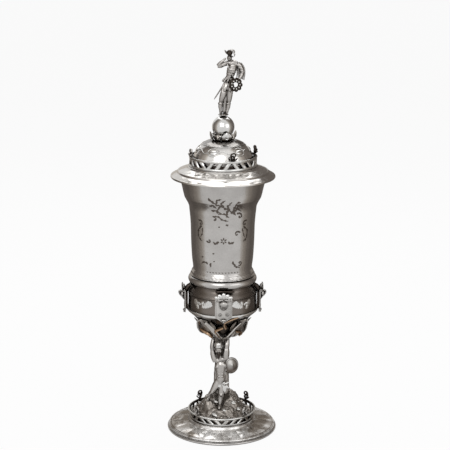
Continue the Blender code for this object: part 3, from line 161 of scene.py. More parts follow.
def height_on(outline, radius):
    """Height of an outline at a radius."""
    for (r0, z0), (r1, z1) in zip(outline, outline[1:]):
        if min(r0, r1) <= radius <= max(r0, r1) and r0 != r1:
            return z0 + (z1 - z0) * (radius - r0) / (r1 - r0)
    return outline[-1][1]


def radius_on(outline, height):
    """Radius of an outline at a height."""
    for (r0, z0), (r1, z1) in zip(outline, outline[1:]):
        if min(z0, z1) <= height <= max(z0, z1) and z0 != z1:
            return r0 + (r1 - r0) * (height - z0) / (z1 - z0)
    return outline[-1][0]


def lathe(name, profile, steps=160, closed=True, form=None):
    """A profile of (radius, height) turned about Z. form(bearing, r, z) may move each point."""
    points = []
    faces = []
    count = len(profile)
    for i in range(steps):
        a = tau * i / steps
        for r, z in profile:
            if form:
                r, z = form(a, r, z)
            points.append((r * sin(a), -r * cos(a), z))
    for i in range(steps):
        j = (i + 1) % steps
        for k in range(count if closed else count - 1):
            m = (k + 1) % count
            faces.append((i * count + k, j * count + k, j * count + m, i * count + m))
    mesh = bpy.data.meshes.new(name)
    mesh.from_pydata(points, [], faces)
    shape = bmesh.new()
    shape.from_mesh(mesh)
    bpy.data.meshes.remove(mesh)
    return mesh_of(name, shape)


def turned(name, profile, look, body, nodes, steps=220, angle=40, closed=True, form=None):
    """A piece turned on the lathe."""
    return piece(name, lathe(name, profile, steps, closed, form), look, body, nodes, angle)


def skin(shape, rings):
    """Adds the faces between closed rings of points, and a cap at each end."""
    count = len(rings[0])
    for one, two in zip(rings, rings[1:]):
        for k in range(count):
            m = (k + 1) % count
            shape.faces.new((one[k], one[m], two[m], two[k]))
    shape.faces.new(rings[0][::-1])
    shape.faces.new(rings[-1])


def strip(shape, rows):
    """Adds the faces between open rows of points."""
    for one, two in zip(rows, rows[1:]):
        for k in range(len(one) - 1):
            shape.faces.new((one[k], one[k + 1], two[k + 1], two[k]))


def sweep(shape, path, sides=10, flat=1, across=None):
    """Adds a tube through (x, y, z, radius) points. flat thins it along its second axis."""
    points = [Vector(p[:3]) for p in path]
    side = Vector(across) if across else None
    rings = []
    for i, point in enumerate(points):
        along = points[min(i + 1, len(points) - 1)] - points[max(i - 1, 0)]
        along.normalize()
        if side is None:
            side = along.orthogonal().normalized()
        side = (side - along * side.dot(along)).normalized()
        up = along.cross(side)
        radius = path[i][3]
        ring = []
        for k in range(sides):
            a = tau * k / sides
            ring.append(shape.verts.new(point + side * radius * cos(a) + up * radius * flat * sin(a)))
        rings.append(ring)
    skin(shape, rings)


def spiral(count, start, end, turn, wind):
    """(x, y, share) points of a scroll that winds through some degrees from one radius to another."""
    points = []
    for i in range(count):
        t = i / (count - 1)
        radius = start + (end - start) * t
        a = radians(turn + wind * t)
        points.append((radius * cos(a), radius * sin(a), t))
    return points


def ball(shape, centre, radii, turn=(0, 0, 0), segments=16):
    """Adds an ellipsoid, turned by angles in degrees."""
    if not hasattr(radii, "__len__"):
        radii = (radii,) * 3
    tilt = Matrix()
    for axis, angle in zip("XYZ", turn):
        tilt = spin(angle, axis) @ tilt
    matrix = Matrix.Translation(centre) @ tilt @ Matrix.Diagonal((*radii, 1))
    rows = segments // 2 + 1
    bmesh.ops.create_uvsphere(shape, u_segments=segments, v_segments=rows, radius=1, matrix=matrix)


def leaf(shape, spine, width, thick=0.5, lobes=3, cup=0.25, vein=0.3, across=(1, 0, 0), rows=18, notch=0.24):
    """Adds a lobed leaf, a thick cupped sheet along a spine of (x, y, z) points."""
    points = [Vector(p) for p in fair(spine, max(2, rows // (len(spine) - 1)))]
    across = Vector(across).normalized()
    sheets = []
    last = len(points) - 1
    columns = 8
    for i, point in enumerate(points):
        t = i / last
        along = (points[min(i + 1, last)] - points[max(i - 1, 0)]).normalized()
        side = (across - along * across.dot(along)).normalized()
        up = along.cross(side)
        edge = 0.34 + 0.66 * sin(pi * min(1, 0.12 + 0.88 * t)) ** 0.8
        edge *= 1 - notch * (0.5 + 0.5 * cos(tau * lobes * t + 0.6))
        half = max(0.03, width / 2 * edge * (1 - max(0, t - 0.86) / 0.16))
        rows_of = []
        for layer in (0.5, -0.5):
            row = []
            for c in range(columns + 1):
                s = 2 * c / columns - 1
                ribs = 0.35 * cos(5 * pi * s) - 0.6 * exp(-30 * s * s)
                lift = cup * half * s * s + vein * ribs
                body = thick * (1 - 0.75 * s * s) * layer
                row.append(shape.verts.new(point + side * half * s + up * (lift + body)))
            rows_of.append(row)
        sheets.append(rows_of)
    for (a, b), (c, d) in zip(sheets, sheets[1:]):
        for k in range(columns):
            shape.faces.new((a[k], a[k + 1], c[k + 1], c[k]))
            shape.faces.new((b[k + 1], b[k], d[k], d[k + 1]))
        for k in (0, columns):
            quad = (a[k], c[k], d[k], b[k])
            shape.faces.new(quad if k else quad[::-1])
    for rows_of in (sheets[0], sheets[-1]):
        for k in range(columns):
            shape.faces.new((rows_of[0][k], rows_of[0][k + 1], rows_of[1][k + 1], rows_of[1][k]))


def melt(name, shape, voxel, passes=3):
    """Overlapping masses melted into one cast skin."""
    mesh = mesh_of(name, shape)
    obj = in_scene(name, mesh)
    remesh = obj.modifiers.new("melt", "REMESH")
    remesh.mode = "VOXEL"
    remesh.voxel_size = voxel * MM
    soft = obj.modifiers.new("soften", "SMOOTH")
    soft.factor = 0.5
    soft.iterations = passes
    graph = bpy.context.evaluated_depsgraph_get()
    melted = bpy.data.meshes.new_from_object(obj.evaluated_get(graph), depsgraph=graph)
    bpy.data.objects.remove(obj)
    bpy.data.meshes.remove(mesh)
    return melted


def roughened(mesh, move):
    """The mesh with each point moved along its normal by move(point in millimetres)."""
    shape = bmesh.new()
    shape.from_mesh(mesh)
    shape.normal_update()
    offsets = [(v, v.normal * move(v.co / MM) * MM) for v in shape.verts]
    for v, offset in offsets:
        v.co += offset
    shape.to_mesh(mesh)
    shape.free()
    return mesh


# Metals


def add_node(tree, kind, inputs, **settings):
    """A new shader node, its settings made and its inputs set or linked."""
    made = tree.nodes.new(f"ShaderNode{kind}")
    for key, value in settings.items():
        setattr(made, key, value)
    for key, value in inputs.items():
        if isinstance(value, bpy.types.NodeSocket):
            tree.links.new(value, made.inputs[key])
        else:
            made.inputs[key].default_value = value
    return made


def metal(name, slot, bright, dark, rough, recess=3, cloud=0.35, under=0.25, grain=0.02, scale=1, worn=None,
          low=None, high=None, matt=0):
    """Silver with tarnish and painted shade in its recesses, painted shade on faces that look down, cloudy
    toning, handling marks, and worn edges in their own tone.

    low gives two heights: painted shade is full at the first and gone at the second. high gives two such
    heights, the share at the first, and two distances to the left and right: the surface darkens towards the
    first height, is lightened nearer than the first distance and darkened whole past the second, painting
    shade on the sides.
    """
    material = bpy.data.materials.new(name)
    material.use_nodes = True
    tree = material.node_tree
    where = add_node(tree, "TexCoord", {}).outputs["Object"]
    geometry = add_node(tree, "NewGeometry", {}).outputs

    def texture(size, detail, stretch=(1, 1, 1)):
        fit = add_node(tree, "Mapping", {"Vector": where, "Scale": stretch}).outputs["Vector"]
        inputs = {"Vector": fit, "Scale": size * scale, "Detail": detail}
        return add_node(tree, "TexNoise", inputs).outputs["Fac"]

    def calc(kind, a, b, clamp=False):
        return add_node(tree, "Math", {0: a, 1: b}, operation=kind, use_clamp=clamp).outputs[0]

    def ramp(value, start, end, least=0, most=1):
        limits = {"From Min": start, "From Max": end, "To Min": least, "To Max": most}
        return add_node(tree, "MapRange", {"Value": value, **limits}).outputs["Result"]

    def blend(one, two, factor):
        ends = {"A": one, "B": two, "Factor": factor}
        return add_node(tree, "Mix", ends, data_type="RGBA").outputs["Result"]

    blot = texture(75, 5)
    speck = texture(520, 4)
    marks = texture(260, 6, (1, 1, 5))
    # Recesses darkened by ambient occlusion: partly tarnish, partly painted shade.
    shade = add_node(tree, "AmbientOcclusion", {"Distance": recess * MM}, samples=6)
    hidden = calc("SUBTRACT", 1, shade.outputs["AO"])
    upwards = add_node(tree, "SeparateXYZ", {0: geometry["Normal"]}).outputs["Z"]
    toned = calc("MULTIPLY", calc("SUBTRACT", blot, 0.42), cloud * 2.2)
    spots = calc("MULTIPLY", calc("SUBTRACT", speck, 0.5), cloud * 0.8)
    total = calc("ADD", calc("MULTIPLY", hidden, 1.5), calc("ADD", toned, spots))
    # Faces that look down are darkened by under: painted shade.
    total = calc("ADD", total, calc("MULTIPLY", upwards, -under, True), True)
    place = add_node(tree, "SeparateXYZ", {0: where}).outputs
    # low: painted shade, darker towards the bottom.
    if low:
        total = calc("ADD", total, ramp(place["Z"], low[1] * MM, low[0] * MM), True)
    # high: darker towards a height; with side distances, lighter in the middle and darker on the sides, which
    # is painted shade.
    if high:
        full, gone, most, start, end = high
        height_darkening = ramp(place["Z"], gone * MM, full * MM, 0, most)
        left = ramp(calc("ABSOLUTE", place["X"], 0), start * MM, end * MM, -0.8)
        total = calc("ADD", total, calc("MULTIPLY", height_darkening, left), True)
    colour = blend((*bright, 1), (*dark, 1), total)
    if worn:
        edge = ramp(geometry["Pointiness"], 0.51, 0.57)
        colour = blend(colour, (*worn, 1), calc("MULTIPLY", edge, calc("MULTIPLY", speck, 1.5), True))
    relief = calc("ADD", blot, calc("MULTIPLY", marks, 0.25))
    bump = add_node(tree, "Bump", {"Strength": 1, "Distance": grain * MM, "Height": relief})
    shader = tree.nodes["Principled BSDF"].inputs
    shader["Metallic"].default_value = 1 - matt
    tree.links.new(colour, shader["Base Color"])
    tree.links.new(ramp(marks, 0.3, 0.7, 0.8 * rough, 1.35 * rough), shader["Roughness"])
    tree.links.new(bump.outputs["Normal"], shader["Normal"])
    return material, slot


POLISHED = metal("silver_polished", "polished_silver", (0.47, 0.455, 0.44), (0.06, 0.05, 0.042),
                 0.2, 1.8, 0.16, 0.5, 0.012)
BRIM = metal("silver_brim", "polished_silver", (0.56, 0.54, 0.515), (0.1, 0.082, 0.068),
             0.17, 2.5, 0.12, 0.5, 0.006)
# Dome: painted shade at its foot inside the gallery (low), and darker towards the top (high).
DOME = metal("silver_dome", "polished_silver", (0.72, 0.7, 0.675), (0.03, 0.023, 0.018),
             0.17, 3, 0.22, 0.4, 0.008, low=(286, 291.5), high=(305.4, 300.6, 0.72, -2, -1))
# Dark metal of the bowl: painted shade, the dark that the bowl reflects.
KNOP_SHADE = metal("silver_knop_shade", "polished_silver", (0.185, 0.163, 0.146), (0.03, 0.023, 0.018),
              0.25, 4, 0.22, 0.5, 0.015)
# Chased flange, its high mask lighter in the middle and darker to the left and right: painted shade on the
# sides.
CHASED = metal("silver_chased", "chased_silver", (0.78, 0.765, 0.745), (0.14, 0.115, 0.09),
               0.2, 1.6, 1.4, 0.4, 0.006, high=(7.2, 3.2, 0.66, 9, 33), matt=0.35)
# Rock with worn edges; its low mask darkens the mound behind the foot's gallery: painted shade.
ROCK = metal("silver_rock", "chased_silver", (0.29, 0.265, 0.24), (0.055, 0.044, 0.036),
             0.36, 1.6, 0.45, 0.3, 0.05, 2, (0.38, 0.36, 0.33), (14.5, 17.6))
# Bark: darker than cast silver, partly its own tone and partly painted shade behind the figure.
BARK = metal("silver_bark", "chased_silver", (0.33, 0.305, 0.28), (0.035, 0.026, 0.021),
             0.34, 3, 0.4, 0.4, 0.06, 2, (0.42, 0.39, 0.36))
CAST = metal("silver_cast", "cast_silver", (0.45, 0.43, 0.41), (0.035, 0.027, 0.021),
             0.26, 3.6, 0.34, 0.45, 0.025, 1.4)
# Dark metal of the leaves under the bowl and under the ball: painted shade.
BASKET = metal("silver_dark", "cast_silver", (0.27, 0.24, 0.21), (0.016, 0.011, 0.008),
               0.28, 4, 0.5, 0.5, 0.04, 1.6, (0.5, 0.47, 0.43))
ENGRAVED = metal("silver_engraved", "cast_silver", (0.115, 0.098, 0.086), (0.045, 0.036, 0.03),
                 0.42, 1, 0.3, 0.2, 0.01)
BURNISHED = metal("silver_burnished", "polished_silver", (0.64, 0.635, 0.62), (0.16, 0.14, 0.125),
                  0.19, 1.6, 0.2, 0.3, 0.01)
BRIGHT = metal("silver_bright", "cast_silver", (0.6, 0.59, 0.57), (0.07, 0.056, 0.045),
               0.24, 3, 0.35, 0.4, 0.03, 2)
CALYX = metal("silver_calyx", "cast_silver", (0.4, 0.375, 0.35), (0.025, 0.018, 0.013),
              0.25, 4, 0.4, 0.5, 0.03, 1.6, (0.62, 0.6, 0.57))
STRAP = metal("silver_strap", "cast_silver", (0.5, 0.485, 0.465), (0.03, 0.022, 0.017),
              0.27, 3, 0.3, 0.5, 0.02, 1.6)
# Near-black metal: painted shade, for parts and faces that sit in shade.
PAINTED_SHADE = metal("silver_painted_shade", "cast_silver", (0.055, 0.045, 0.038), (0.012, 0.009, 0.007),
                  0.3, 2, 0.5, 0.4, 0.02, 1.6)
# Brown-tinted dark metal of the straps under the bowl: painted shade with a painted warm reflection.
WARM_SHADE = metal("silver_warm_shade", "cast_silver", (0.26, 0.16, 0.095), (0.04, 0.026, 0.018),
               0.26, 2, 0.3, 0.4, 0.02, 1.6, (0.42, 0.3, 0.2))
# Shield: its lower part darker by the low mask, a painted shade.
SHIELD = metal("silver_shield", "polished_silver", (0.4, 0.39, 0.375), (0.13, 0.11, 0.096),
               0.25, 3, 0.2, 0.4, 0.01, low=(62.5, 69))
STEEL = metal("steel_plain", "steel_fixings", (0.34, 0.335, 0.33), (0.1, 0.085, 0.07),
              0.36, 2, 0.3, 0.2, 0.01)


# Foot


def lobe(a, r, z):
    """Sixteen rounded lobes with sharp valleys, fading towards the gallery."""
    u = (r - 37.5) / 15.4
    if u <= 0 or u >= 1 or z < 3.6:
        return r, z
    rise = sin(pi * min(1, u ** 1.3)) ** 0.6
    wave = abs(sin(8 * a)) ** 0.75 - 0.6
    return r, z + 0.95 * rise * wave


def build_foot():
    """Stepped ring and hollow flange."""
    ring = [(53.6, 3), (55.3, 3), (56, 2.85), (56.4, 2.5), (56.35, 2.2), (56.1, 2.05), (56.6, 1.95)]
    ring += [(57, 1.6), (57.2, 1.1), (57.2, 0.3), (57, 0), (53.9, 0), (53.6, 0.3)]
    turned("fine_foot_ring", ring, POLISHED, "cup", ["foot_ring"], 200)
    slope = [(32.7, 10.7), (33.9, 10.5), (34.6, 9.9), (35.2, 8.6), (36.2, 7.9), (40, 7.35), (45, 6.6)]
    edge = [(53.25, 4.75), (53.55, 4.55), (53.85, 4.75), (54.2, 5), (54.6, 4.95), (54.9, 4.6), (55.15, 4.45)]
    top = [(27.7, 10.7)] + fair(slope + [(50, 5.65), (53, 5.05)]) + edge + [(55.4, 4.2), (55.5, 3.35)]
    under = [(52.6, 3.35), (52, 3.7), (47, 4.75), (42, 5.8), (37, 7), (33.2, 8.6), (31.6, 9.4), (27.7, 9.4)]
    # The flange's metal paints shade on its left and right sides.
    turned("fine_flange", top + under, CHASED, "cup", ["foot_flange"], 320, 60, form=lobe)


def gallery(name, radius, flare, height, base, crest_turn, body, node):
    """Pierced band: two moulded rails and slats that lean towards the crests."""
    slot = 360 / SLATS
    rail = height - 2.5
    sill = 2
    thick = 0.5

    def at(h):
        return radius + flare * h / height

    # Points of a rail: the height whose radius is kept, how far it stands proud of that, its own height
    upper = [(rail, -thick, rail), (rail, 0.35, rail + 0.1), (height, 0.75, height - 1.25)]
    upper += [(height, 0.85, height - 0.7), (height, 0.5, height - 0.15), (height, 0, height)]
    lower = [(0, -thick, 0), (0, 0.9, 0), (0, 0.95, 0.5), (0, 0.6, 0.8), (sill, 0.45, 1.1), (sill, 0.4, sill)]
    shape = bmesh.new()
    for profile in (upper + [(height, -thick, height - 0.1)], lower + [(sill, -thick, sill)]):
        add_mesh(shape, lathe("rail", [(at(h) + proud, base + z) for h, proud, z in profile], 192))
    for i in range(SLATS):
        middle = (i + 0.5) * slot
        off = (middle - crest_turn + 45) % 90 - 45
        lean = 0.52 * slot * (-1 if off > 0 else 1)
        rings = []
        for row in range(6):
            t = row / 5
            h = sill - 0.3 + (rail - sill + 0.6) * t
            half = 0.25 * slot * (1 + 0.2 * (2 * t - 1) ** 2)
            ring = []
            for b, r in ((-half, -0.4), (-0.6 * half, 0.42), (0.6 * half, 0.42), (half, -0.4)):
                ring.append(shape.verts.new(polar(middle + lean * (t - 0.5) + b, at(h) + r, base + h)))
            rings.append(ring)
        skin(shape, rings)
    band = cast(name, shape, BURNISHED, body, [node], 50).data
    # Faces that look inwards take the near-black metal: painted shade inside the band.
    band.materials.append(PAINTED_SHADE[0])
    for face in band.polygons:
        outwards = Vector((*face.center[:2], 0)).normalized()
        if face.normal.dot(outwards) < -0.5:
            face.material_index = 1


def crest_shape(height):
    """A stout C scroll with a berry in its eye, a second scroll facing outwards and leaves at its foot."""
    shape = bmesh.new()
    path = [(0, 0, 0, 1.5), (-0.9, 0, 1.2, 1.35), (-2.1, 0, 2.8, 1.25)]
    path += [(x + 0.2, 0, 6.3 + z, 1.2 - 0.4 * t) for x, z, t in spiral(20, 3, 1.2, -158, -330)[1:]]
    sweep(shape, path, 10, 0.72, (0, 1, 0))
    ball(shape, (path[-1][0], 0, path[-1][2]), (1.2, 1.5, 1.2), segments=12)
    curl = [(0.3, -1.4 - y, 3.2 + z, 0.95 - 0.3 * t) for y, z, t in spiral(15, 2.3, 0.8, -130, -300)]
    sweep(shape, curl, 8, 0.8, (1, 0, 0))
    for i in range(3):
        ball(shape, (-3.5 + 0.5 * i, 0, 5.2 + 1.5 * i), (0.6, 0.9, 0.7), segments=8)
    for side in (-1, 1):
        spine = [(0, 0, 0.2), (side * 1.8, -0.3, 0.9), (side * 3, -0.9, 2.2), (side * 3.1, -1.6, 3.3)]
        leaf(shape, spine, 2.8, 0.8, 2, 0.2, 0.15, (0, 1, 0.4), 12)
    ball(shape, (0, 0, 0.4), (1.9, 1.4, 0.9), segments=12)
    mesh = mesh_of("crest", shape)
    mesh.transform(Matrix.Diagonal((1, 1, height / 10.4, 1)))
    return mesh


def build_crests():
    """Four crests on each gallery, the pale ones painted light and the others painted shade."""
    rows = (
        ("foot_crest", CORNERS, FOOT_CREST_TURN, 34.8, 20.7, 10, "cup"),
        ("cover_crest", SIDES, COVER_CREST_TURN, 33.9, 291.9, 9, "cover"),
    )
    pale = ("left", "front_left", "front_right")
    for prefix, names, turn, radius, base, height, body in rows:
        mesh = crest_shape(height)
        for i, name in enumerate(names):
            copy = mesh.copy()
            copy.transform(spin(turn + 90 * i) @ Matrix.Translation((0, -radius * MM, base * MM)))
            # Pale cast silver is painted light, near-black metal painted shade.
            look = CAST if name in pale else PAINTED_SHADE
            piece(f"fine_{prefix}_{name}", copy, look, body, [f"{prefix}_{name}"])


FEET = ((-14.2, -10, FOOT_LEVEL + 5), (-2.4, -15.2, FOOT_LEVEL))
# Boulders: bearing, radius, size, rise
ROCKS = (
    (24, 22, 4.6, 1.2),
    (78, 16, 7.6, 2),
    (122, 15, 7.2, 2.4),
    (172, 16, 6, 1.8),
    (214, 15, 6.5, 2.4),
    (262, 21, 6, 2),
    (52, 17, 4.4, 1.2),
    (318, 24, 4.6, 1),
)
# Flat pale stones: their middles and sizes
SLABS = ((-5.6, -12.2, 31.6, 2.5), (12.4, -12.6, 30.4, 2.5), (-6.6, -22.8, 21.2, 3.6), (3, -20.4, 24.8, 2),
         (17.6, -16, 24.6, 1.8))
MOUND_KEYS = [(12.5, 35.6), (16.1, 31.6), (20.1, 25.8), (24.4, 20.6), (28.1, 18), (30.3, 17.2), (30.5, 12)]
MOUND_SLOPE = fair(MOUND_KEYS, 12)


def mound_form(a, r, z):
    """Rocky surface: boulders and ridged lumps on the slope, ledges where the figure's feet stand."""
    if z < SHELF_TOP + 0.3:
        return r, z
    x, y = r * sin(a), -r * cos(a)
    share = min(1, max(0, (r - 6) / 5)) * min(1, max(0, (30.4 - r) / 2.6))
    share *= 0.45 + 0.55 * min(1, abs(atan2(x, -y)))
    middle = min(1, abs(degrees(atan2(x, -y)) + 6) / 52)
    z += (1 - middle * middle) * min(0, 34.4 - 0.62 * (r - 5) - z)
    for bearing, radius, size, rise in ROCKS:
        centre = polar(bearing, radius, 0)
        skew = 0.22 * noise.noise(Vector((0.3 * x, 0.3 * y, bearing)))
        near = hypot(x - centre.x, y - centre.y) / (1.15 * size) + skew
        if near < 1:
            z += share * rise * (1 - near ** 3)
    spot = Vector((x, y, 0.7 * z))
    lumps = noise.ridged_multi_fractal(spot * 0.17, 0.85, 2.1, 5, 0.9, 1.8)
    cells = noise.voronoi(spot * 0.24)[0]
    crack = min(1, 4 * (cells[1] - cells[0]))
    z += share * (0.7 * (lumps - 1) + 1.2 * (0.4 - cells[0]) + 0.35 * (crack - 1))
    z += share * (0.5 * noise.noise(spot * 0.8) + 0.2 * noise.noise(spot * 1.9))
    for fx, fy, sole in FEET:
        near = hypot(x - fx, (y - fy) * 0.85) + 0.9 * noise.noise(spot * 0.4)
        if near < 6.5:
            blend = min(1, (6.5 - near) / 3.5)
            ledge = sole - 0.2 + 0.3 * noise.noise(spot * 0.9) - 0.45 * max(0, -y - 15)
            z += (ledge - z) * blend * blend * (3 - 2 * blend)
    return r, z


def build_mound():
    """Rocky mound with loose stones, small leaves and flat slabs."""
    top = [(0, MOUND_TOP - 0.1), (3, MOUND_TOP - 0.1), (6, MOUND_TOP - 0.2), (9, 36.8), (11, 36.3)]
    hollow = [(30.5, SHELF_TOP), (27, SHELF_TOP), (22, 16), (17, 22), (14.5, 24.8), (0, 25.1)]
    profile = top + MOUND_SLOPE + hollow
    # The mound's metal paints shade on its lowest part, behind the gallery.
    turned("fine_mound", profile, ROCK, "cup", ["ground_mound"], 300, 60, False, mound_form)
    dice = random.Random(5)
    pale = bmesh.new()
    dark = bmesh.new()
    for i in range(120):
        bearing = dice.uniform(0, 360)
        radius = dice.uniform(14, 29)
        size = dice.uniform(0.6, 1.7)
        x, y = polar(bearing, radius, 0)[:2]
        if min(hypot(x - fx, y - fy) for fx, fy, _ in FEET) < 5.6:
            continue
        z = mound_form(radians(bearing), radius, height_on(MOUND_SLOPE, radius))[1]
        shape = pale if i % 2 else dark
        if i % 3 or radius < 21:
            turn = (dice.uniform(-30, 30), dice.uniform(-30, 30), bearing)
            ball(shape, (x, y, z - 0.1 * size), (1.2 * size, 0.8 * size, 0.6 * size), turn, 7)
        else:
            spine = [(x, y, z - 0.3)]
            for k in range(1, 4):
                step = polar(bearing + 20, 0.7 * k * size, 0.55 * size * k ** 0.6)
                spine.append(tuple(Vector((x, y, z)) + step))
            side = polar(bearing + 90, 1, 0)
            leaf(shape, spine, 2.2 * size, 0.4, 2, 0.25, 0.12, side, 10)
    for x, y, z, size in SLABS:
        ball(pale, (x, y, z), (1.2 * size, 0.9 * size, 0.32 * size), (34, 6 * size, 0), 9)
    cast("mound_stones", dark, ROCK, "cup", angle=30)
    cast("mound_leaves", pale, BRIGHT, "cup", angle=50)


# Carrying figure


def man_key(x, y, z, r):
    """A key of the figure, drawn from its soles, in the cup."""
    return (x, y - 9.2, FOOT_LEVEL + z, r)


def man_limb(shape, keys, sides=14, spans=5):
    """Adds a limb of the carrying figure."""
    sweep(shape, [man_key(*key) for key in fair(keys, spans)], sides)


def man_ball(shape, centre, radii, turn=(0, 0, 0)):
    """Adds a rounded mass of the carrying figure."""
    ball(shape, man_key(*centre, 0)[:3], radii, turn, 18)


# Trunk, shoulders, neck, arms, thighs, shins and feet as (x, y, z, radius) keys
MAN_LIMBS = (
    ((-0.7, 0.2, 24, 5.5), (-1.2, 0.1, 28.5, 5.5), (-1.6, 0, 33.5, 5.3), (-1.5, 0, 39, 5.9),
     (-1.2, 0.1, 44.5, 6.2), (-1, 0.3, 48, 4.6)),
    ((-6.9, 0.1, 47.8, 3.1), (-4, 0.3, 48.6, 3.2), (-1.2, 0.5, 49.3, 3.3), (1.8, 0.3, 50.2, 3.2),
     (4.2, 0, 51, 3.3)),
    ((-1.6, 0.1, 48, 3.2), (-2.6, -0.1, 52, 2.9), (-3.4, -0.4, 57.5, 2.7)),
    ((-6.9, 0, 47.6, 3), (-8.2, -0.2, 51, 3.1), (-9.3, 0, 55.5, 3), (-9.9, 0.3, 59.5, 2.3)),
    ((-9.9, 0.3, 59.5, 2.3), (-10.1, 0.4, 63, 2.5), (-9.9, 1.3, 67.5, 2.1), (-9.4, 2.2, 71, 1.7)),
    ((3.8, 0, 50.8, 3.2), (4, -0.6, 54.5, 3.7), (4.2, -0.6, 58.5, 3.6), (4.4, -0.2, 62, 2.9)),
    ((4.4, -0.2, 62, 2.9), (4.8, 0.2, 65.5, 3), (5.4, 1.2, 69, 2.4), (6, 2.2, 71.5, 1.8)),
    ((-3.4, 0, 26, 4.2), (-6, -0.8, 21, 4.2), (-8.6, -1.2, 16.6, 3.4), (-10.2, -1, 13.8, 2.9)),
    ((-10.2, -1, 13.8, 2.9), (-11.8, 0.4, 11, 2.8), (-12.9, 0.6, 8.4, 2.2), (-13.5, 0.4, 6.2, 1.7)),
    ((1.2, 0, 26, 4.2), (0.5, -1.5, 20.5, 4.1), (-0.5, -3.1, 15, 3.3), (-0.9, -3.6, 12, 2.8)),
    ((-0.9, -3.6, 12, 2.8), (-1.3, -3.2, 8.5, 2.8), (-1.7, -3.9, 5, 2.1), (-1.9, -4.4, 1.8, 1.6)),
    ((-13.4, 1.6, 6.1, 1.5), (-13.8, -0.6, 6.3, 1.6), (-14.6, -2.8, 5.9, 1.35), (-15.1, -4.2, 5.6, 0.9)),
    ((-1.9, -3, 1.3, 1.6), (-2.2, -5.9, 1, 1.8), (-2.6, -8.7, -0.2, 1.6), (-2.9, -10.9, -1.5, 1)),
)
MAN_HEAD = Vector((-3.7, -1.4, 62.6))


def build_man():
    """Bearded carrying figure: trunk, limbs, hands, feet and head."""
    body = bmesh.new()
    for keys in MAN_LIMBS:
        man_limb(body, keys)
    for side in (-1, 1):
        man_ball(body, (-1.2 + 2.8 * side, -3.6, 43.4 + 0.7 * side), (3.2, 2, 2.6), (8, 0, 0))
        man_ball(body, (-1.4 + 4.9 * side, 0.6, 40.5 + 0.6 * side), (1.8, 3.1, 4.8), (0, -6 * side, 0))
        for row in range(3):
            man_ball(body, (-1.5 + 1.5 * side, -4.7, 37.6 - 2.8 * row), (1.4, 0.9, 1.3))
        man_ball(body, (-1.6 + 2.6 * side, 3, 24.5), (2.8, 2.4, 3))
    for x, sign in ((-9.9, 1), (6.6, -1)):
        man_ball(body, (x, 2.6, 72.6), (1.9, 1.9, 1))
        for k in range(4):
            fx = x + (k - 1.5) * 0.85
            man_limb(body, [(fx, 1.6, 72.6, 0.55), (fx, 0.2, 72.9, 0.52), (fx, -0.7, 73.2, 0.45)], 8)
        man_limb(body, [(x + 1.6 * sign, 2.2, 72.2, 0.6), (x + 2.6 * sign, 1.2, 72.8, 0.5)], 8)
    man_ball(body, (-10.2, -2.6, 14), (1.8, 1.5, 1.9))
    man_ball(body, (-0.9, -5.7, 12.4), (1.8, 1.4, 1.9))

    def feature(x, y, z, radii, turn=(0, 0, 0)):
        man_ball(body, MAN_HEAD + Vector((x, y, z)), radii, turn)

    feature(0, 0.3, 0.9, (4.1, 4.5, 5.2), (0, -6, 0))
    feature(0.1, -3.2, -2.5, (2.9, 1.9, 3), (0, -6, 0))
    feature(0.1, -5.1, -1.9, (0.68, 0.95, 1.4), (-14, 0, 0))
    for side in (-1, 1):
        feature(0.1 + 1.5 * side, -4.5, -0.1, (1.4, 0.55, 0.45), (0, 0, 8 * side))
        feature(0.1 + 1.45 * side, -4.1, -1, (0.8, 0.65, 0.5))
        feature(0.1 + 1.95 * side, -3.8, -2.4, (1.05, 0.85, 0.9))
        feature(3.9 * side, 0.1, -1.2, (0.5, 1, 1.3))
    feature(0.1, -4.7, -3.6, (1.05, 0.5, 0.33))
    piece("fine_stem_figure", melt("fine_stem_figure", body, 0.32, 3), CAST, "cup", ["stem_figure"], 80)


def build_hair():
    """The carrying figure's cap of curls, its beard and its moustache."""
    hair = bmesh.new()
    beard = bmesh.new()
    dice = random.Random(11)
    cap = MAN_HEAD + Vector((0, -0.5, 3.2))
    ball(hair, man_key(*cap, 0)[:3], (4.3, 4.6, 5), (12, 0, 0), 28)
    for i in range(90):
        bearing = dice.uniform(0, 360)
        up = radians(dice.uniform(-5, 85))
        out = spin(bearing) @ Vector((0, -cos(up), sin(up)))
        root = cap + Vector((out.x * 4.15, out.y * 4.4, out.z * 4.8))
        curl = []
        for t in range(4):
            spot = root + Vector((0.5 * cos(t * 2.1), 0.3 * sin(t * 2.1), -0.65 * t))
            curl.append(man_key(*spot, 0.6 - 0.1 * t))
        sweep(hair, curl, 8)
    for i in range(30):
        u = dice.uniform(-1, 1)
        low = dice.uniform(4.4, 7) * (1 - 0.45 * u * u)
        start = MAN_HEAD + Vector((0.1 + 2.7 * u, -3.6 + 1.2 * u * u, -3.6 - 0.4 * (1 - u * u)))
        path = []
        for t in range(5):
            k = t / 4
            x = start.x - 1.6 * u * k + 0.3 * sin(5 * k + 6 * u)
            path.append(man_key(x, start.y - 0.6 * sin(2.2 * k), start.z - low * k, 0.8 - 0.45 * k))
        sweep(beard, path, 8)
    for side in (-1, 1):
        whisker = [(0.1, -5.3, -3, 0.46), (0.1 + 1.1 * side, -5.1, -3.4, 0.5)]
        whisker.append((0.1 + 2.1 * side, -4.3, -4.2, 0.22))
        sweep(beard, [man_key(*(MAN_HEAD + Vector((x, y, z))), r) for x, y, z, r in whisker], 8)
    cast("figure_hair", hair, BURNISHED, "cup", angle=80)
    # The beard's near-black metal is painted shade under the chin.
    cast("figure_beard", beard, PAINTED_SHADE, "cup", angle=80)


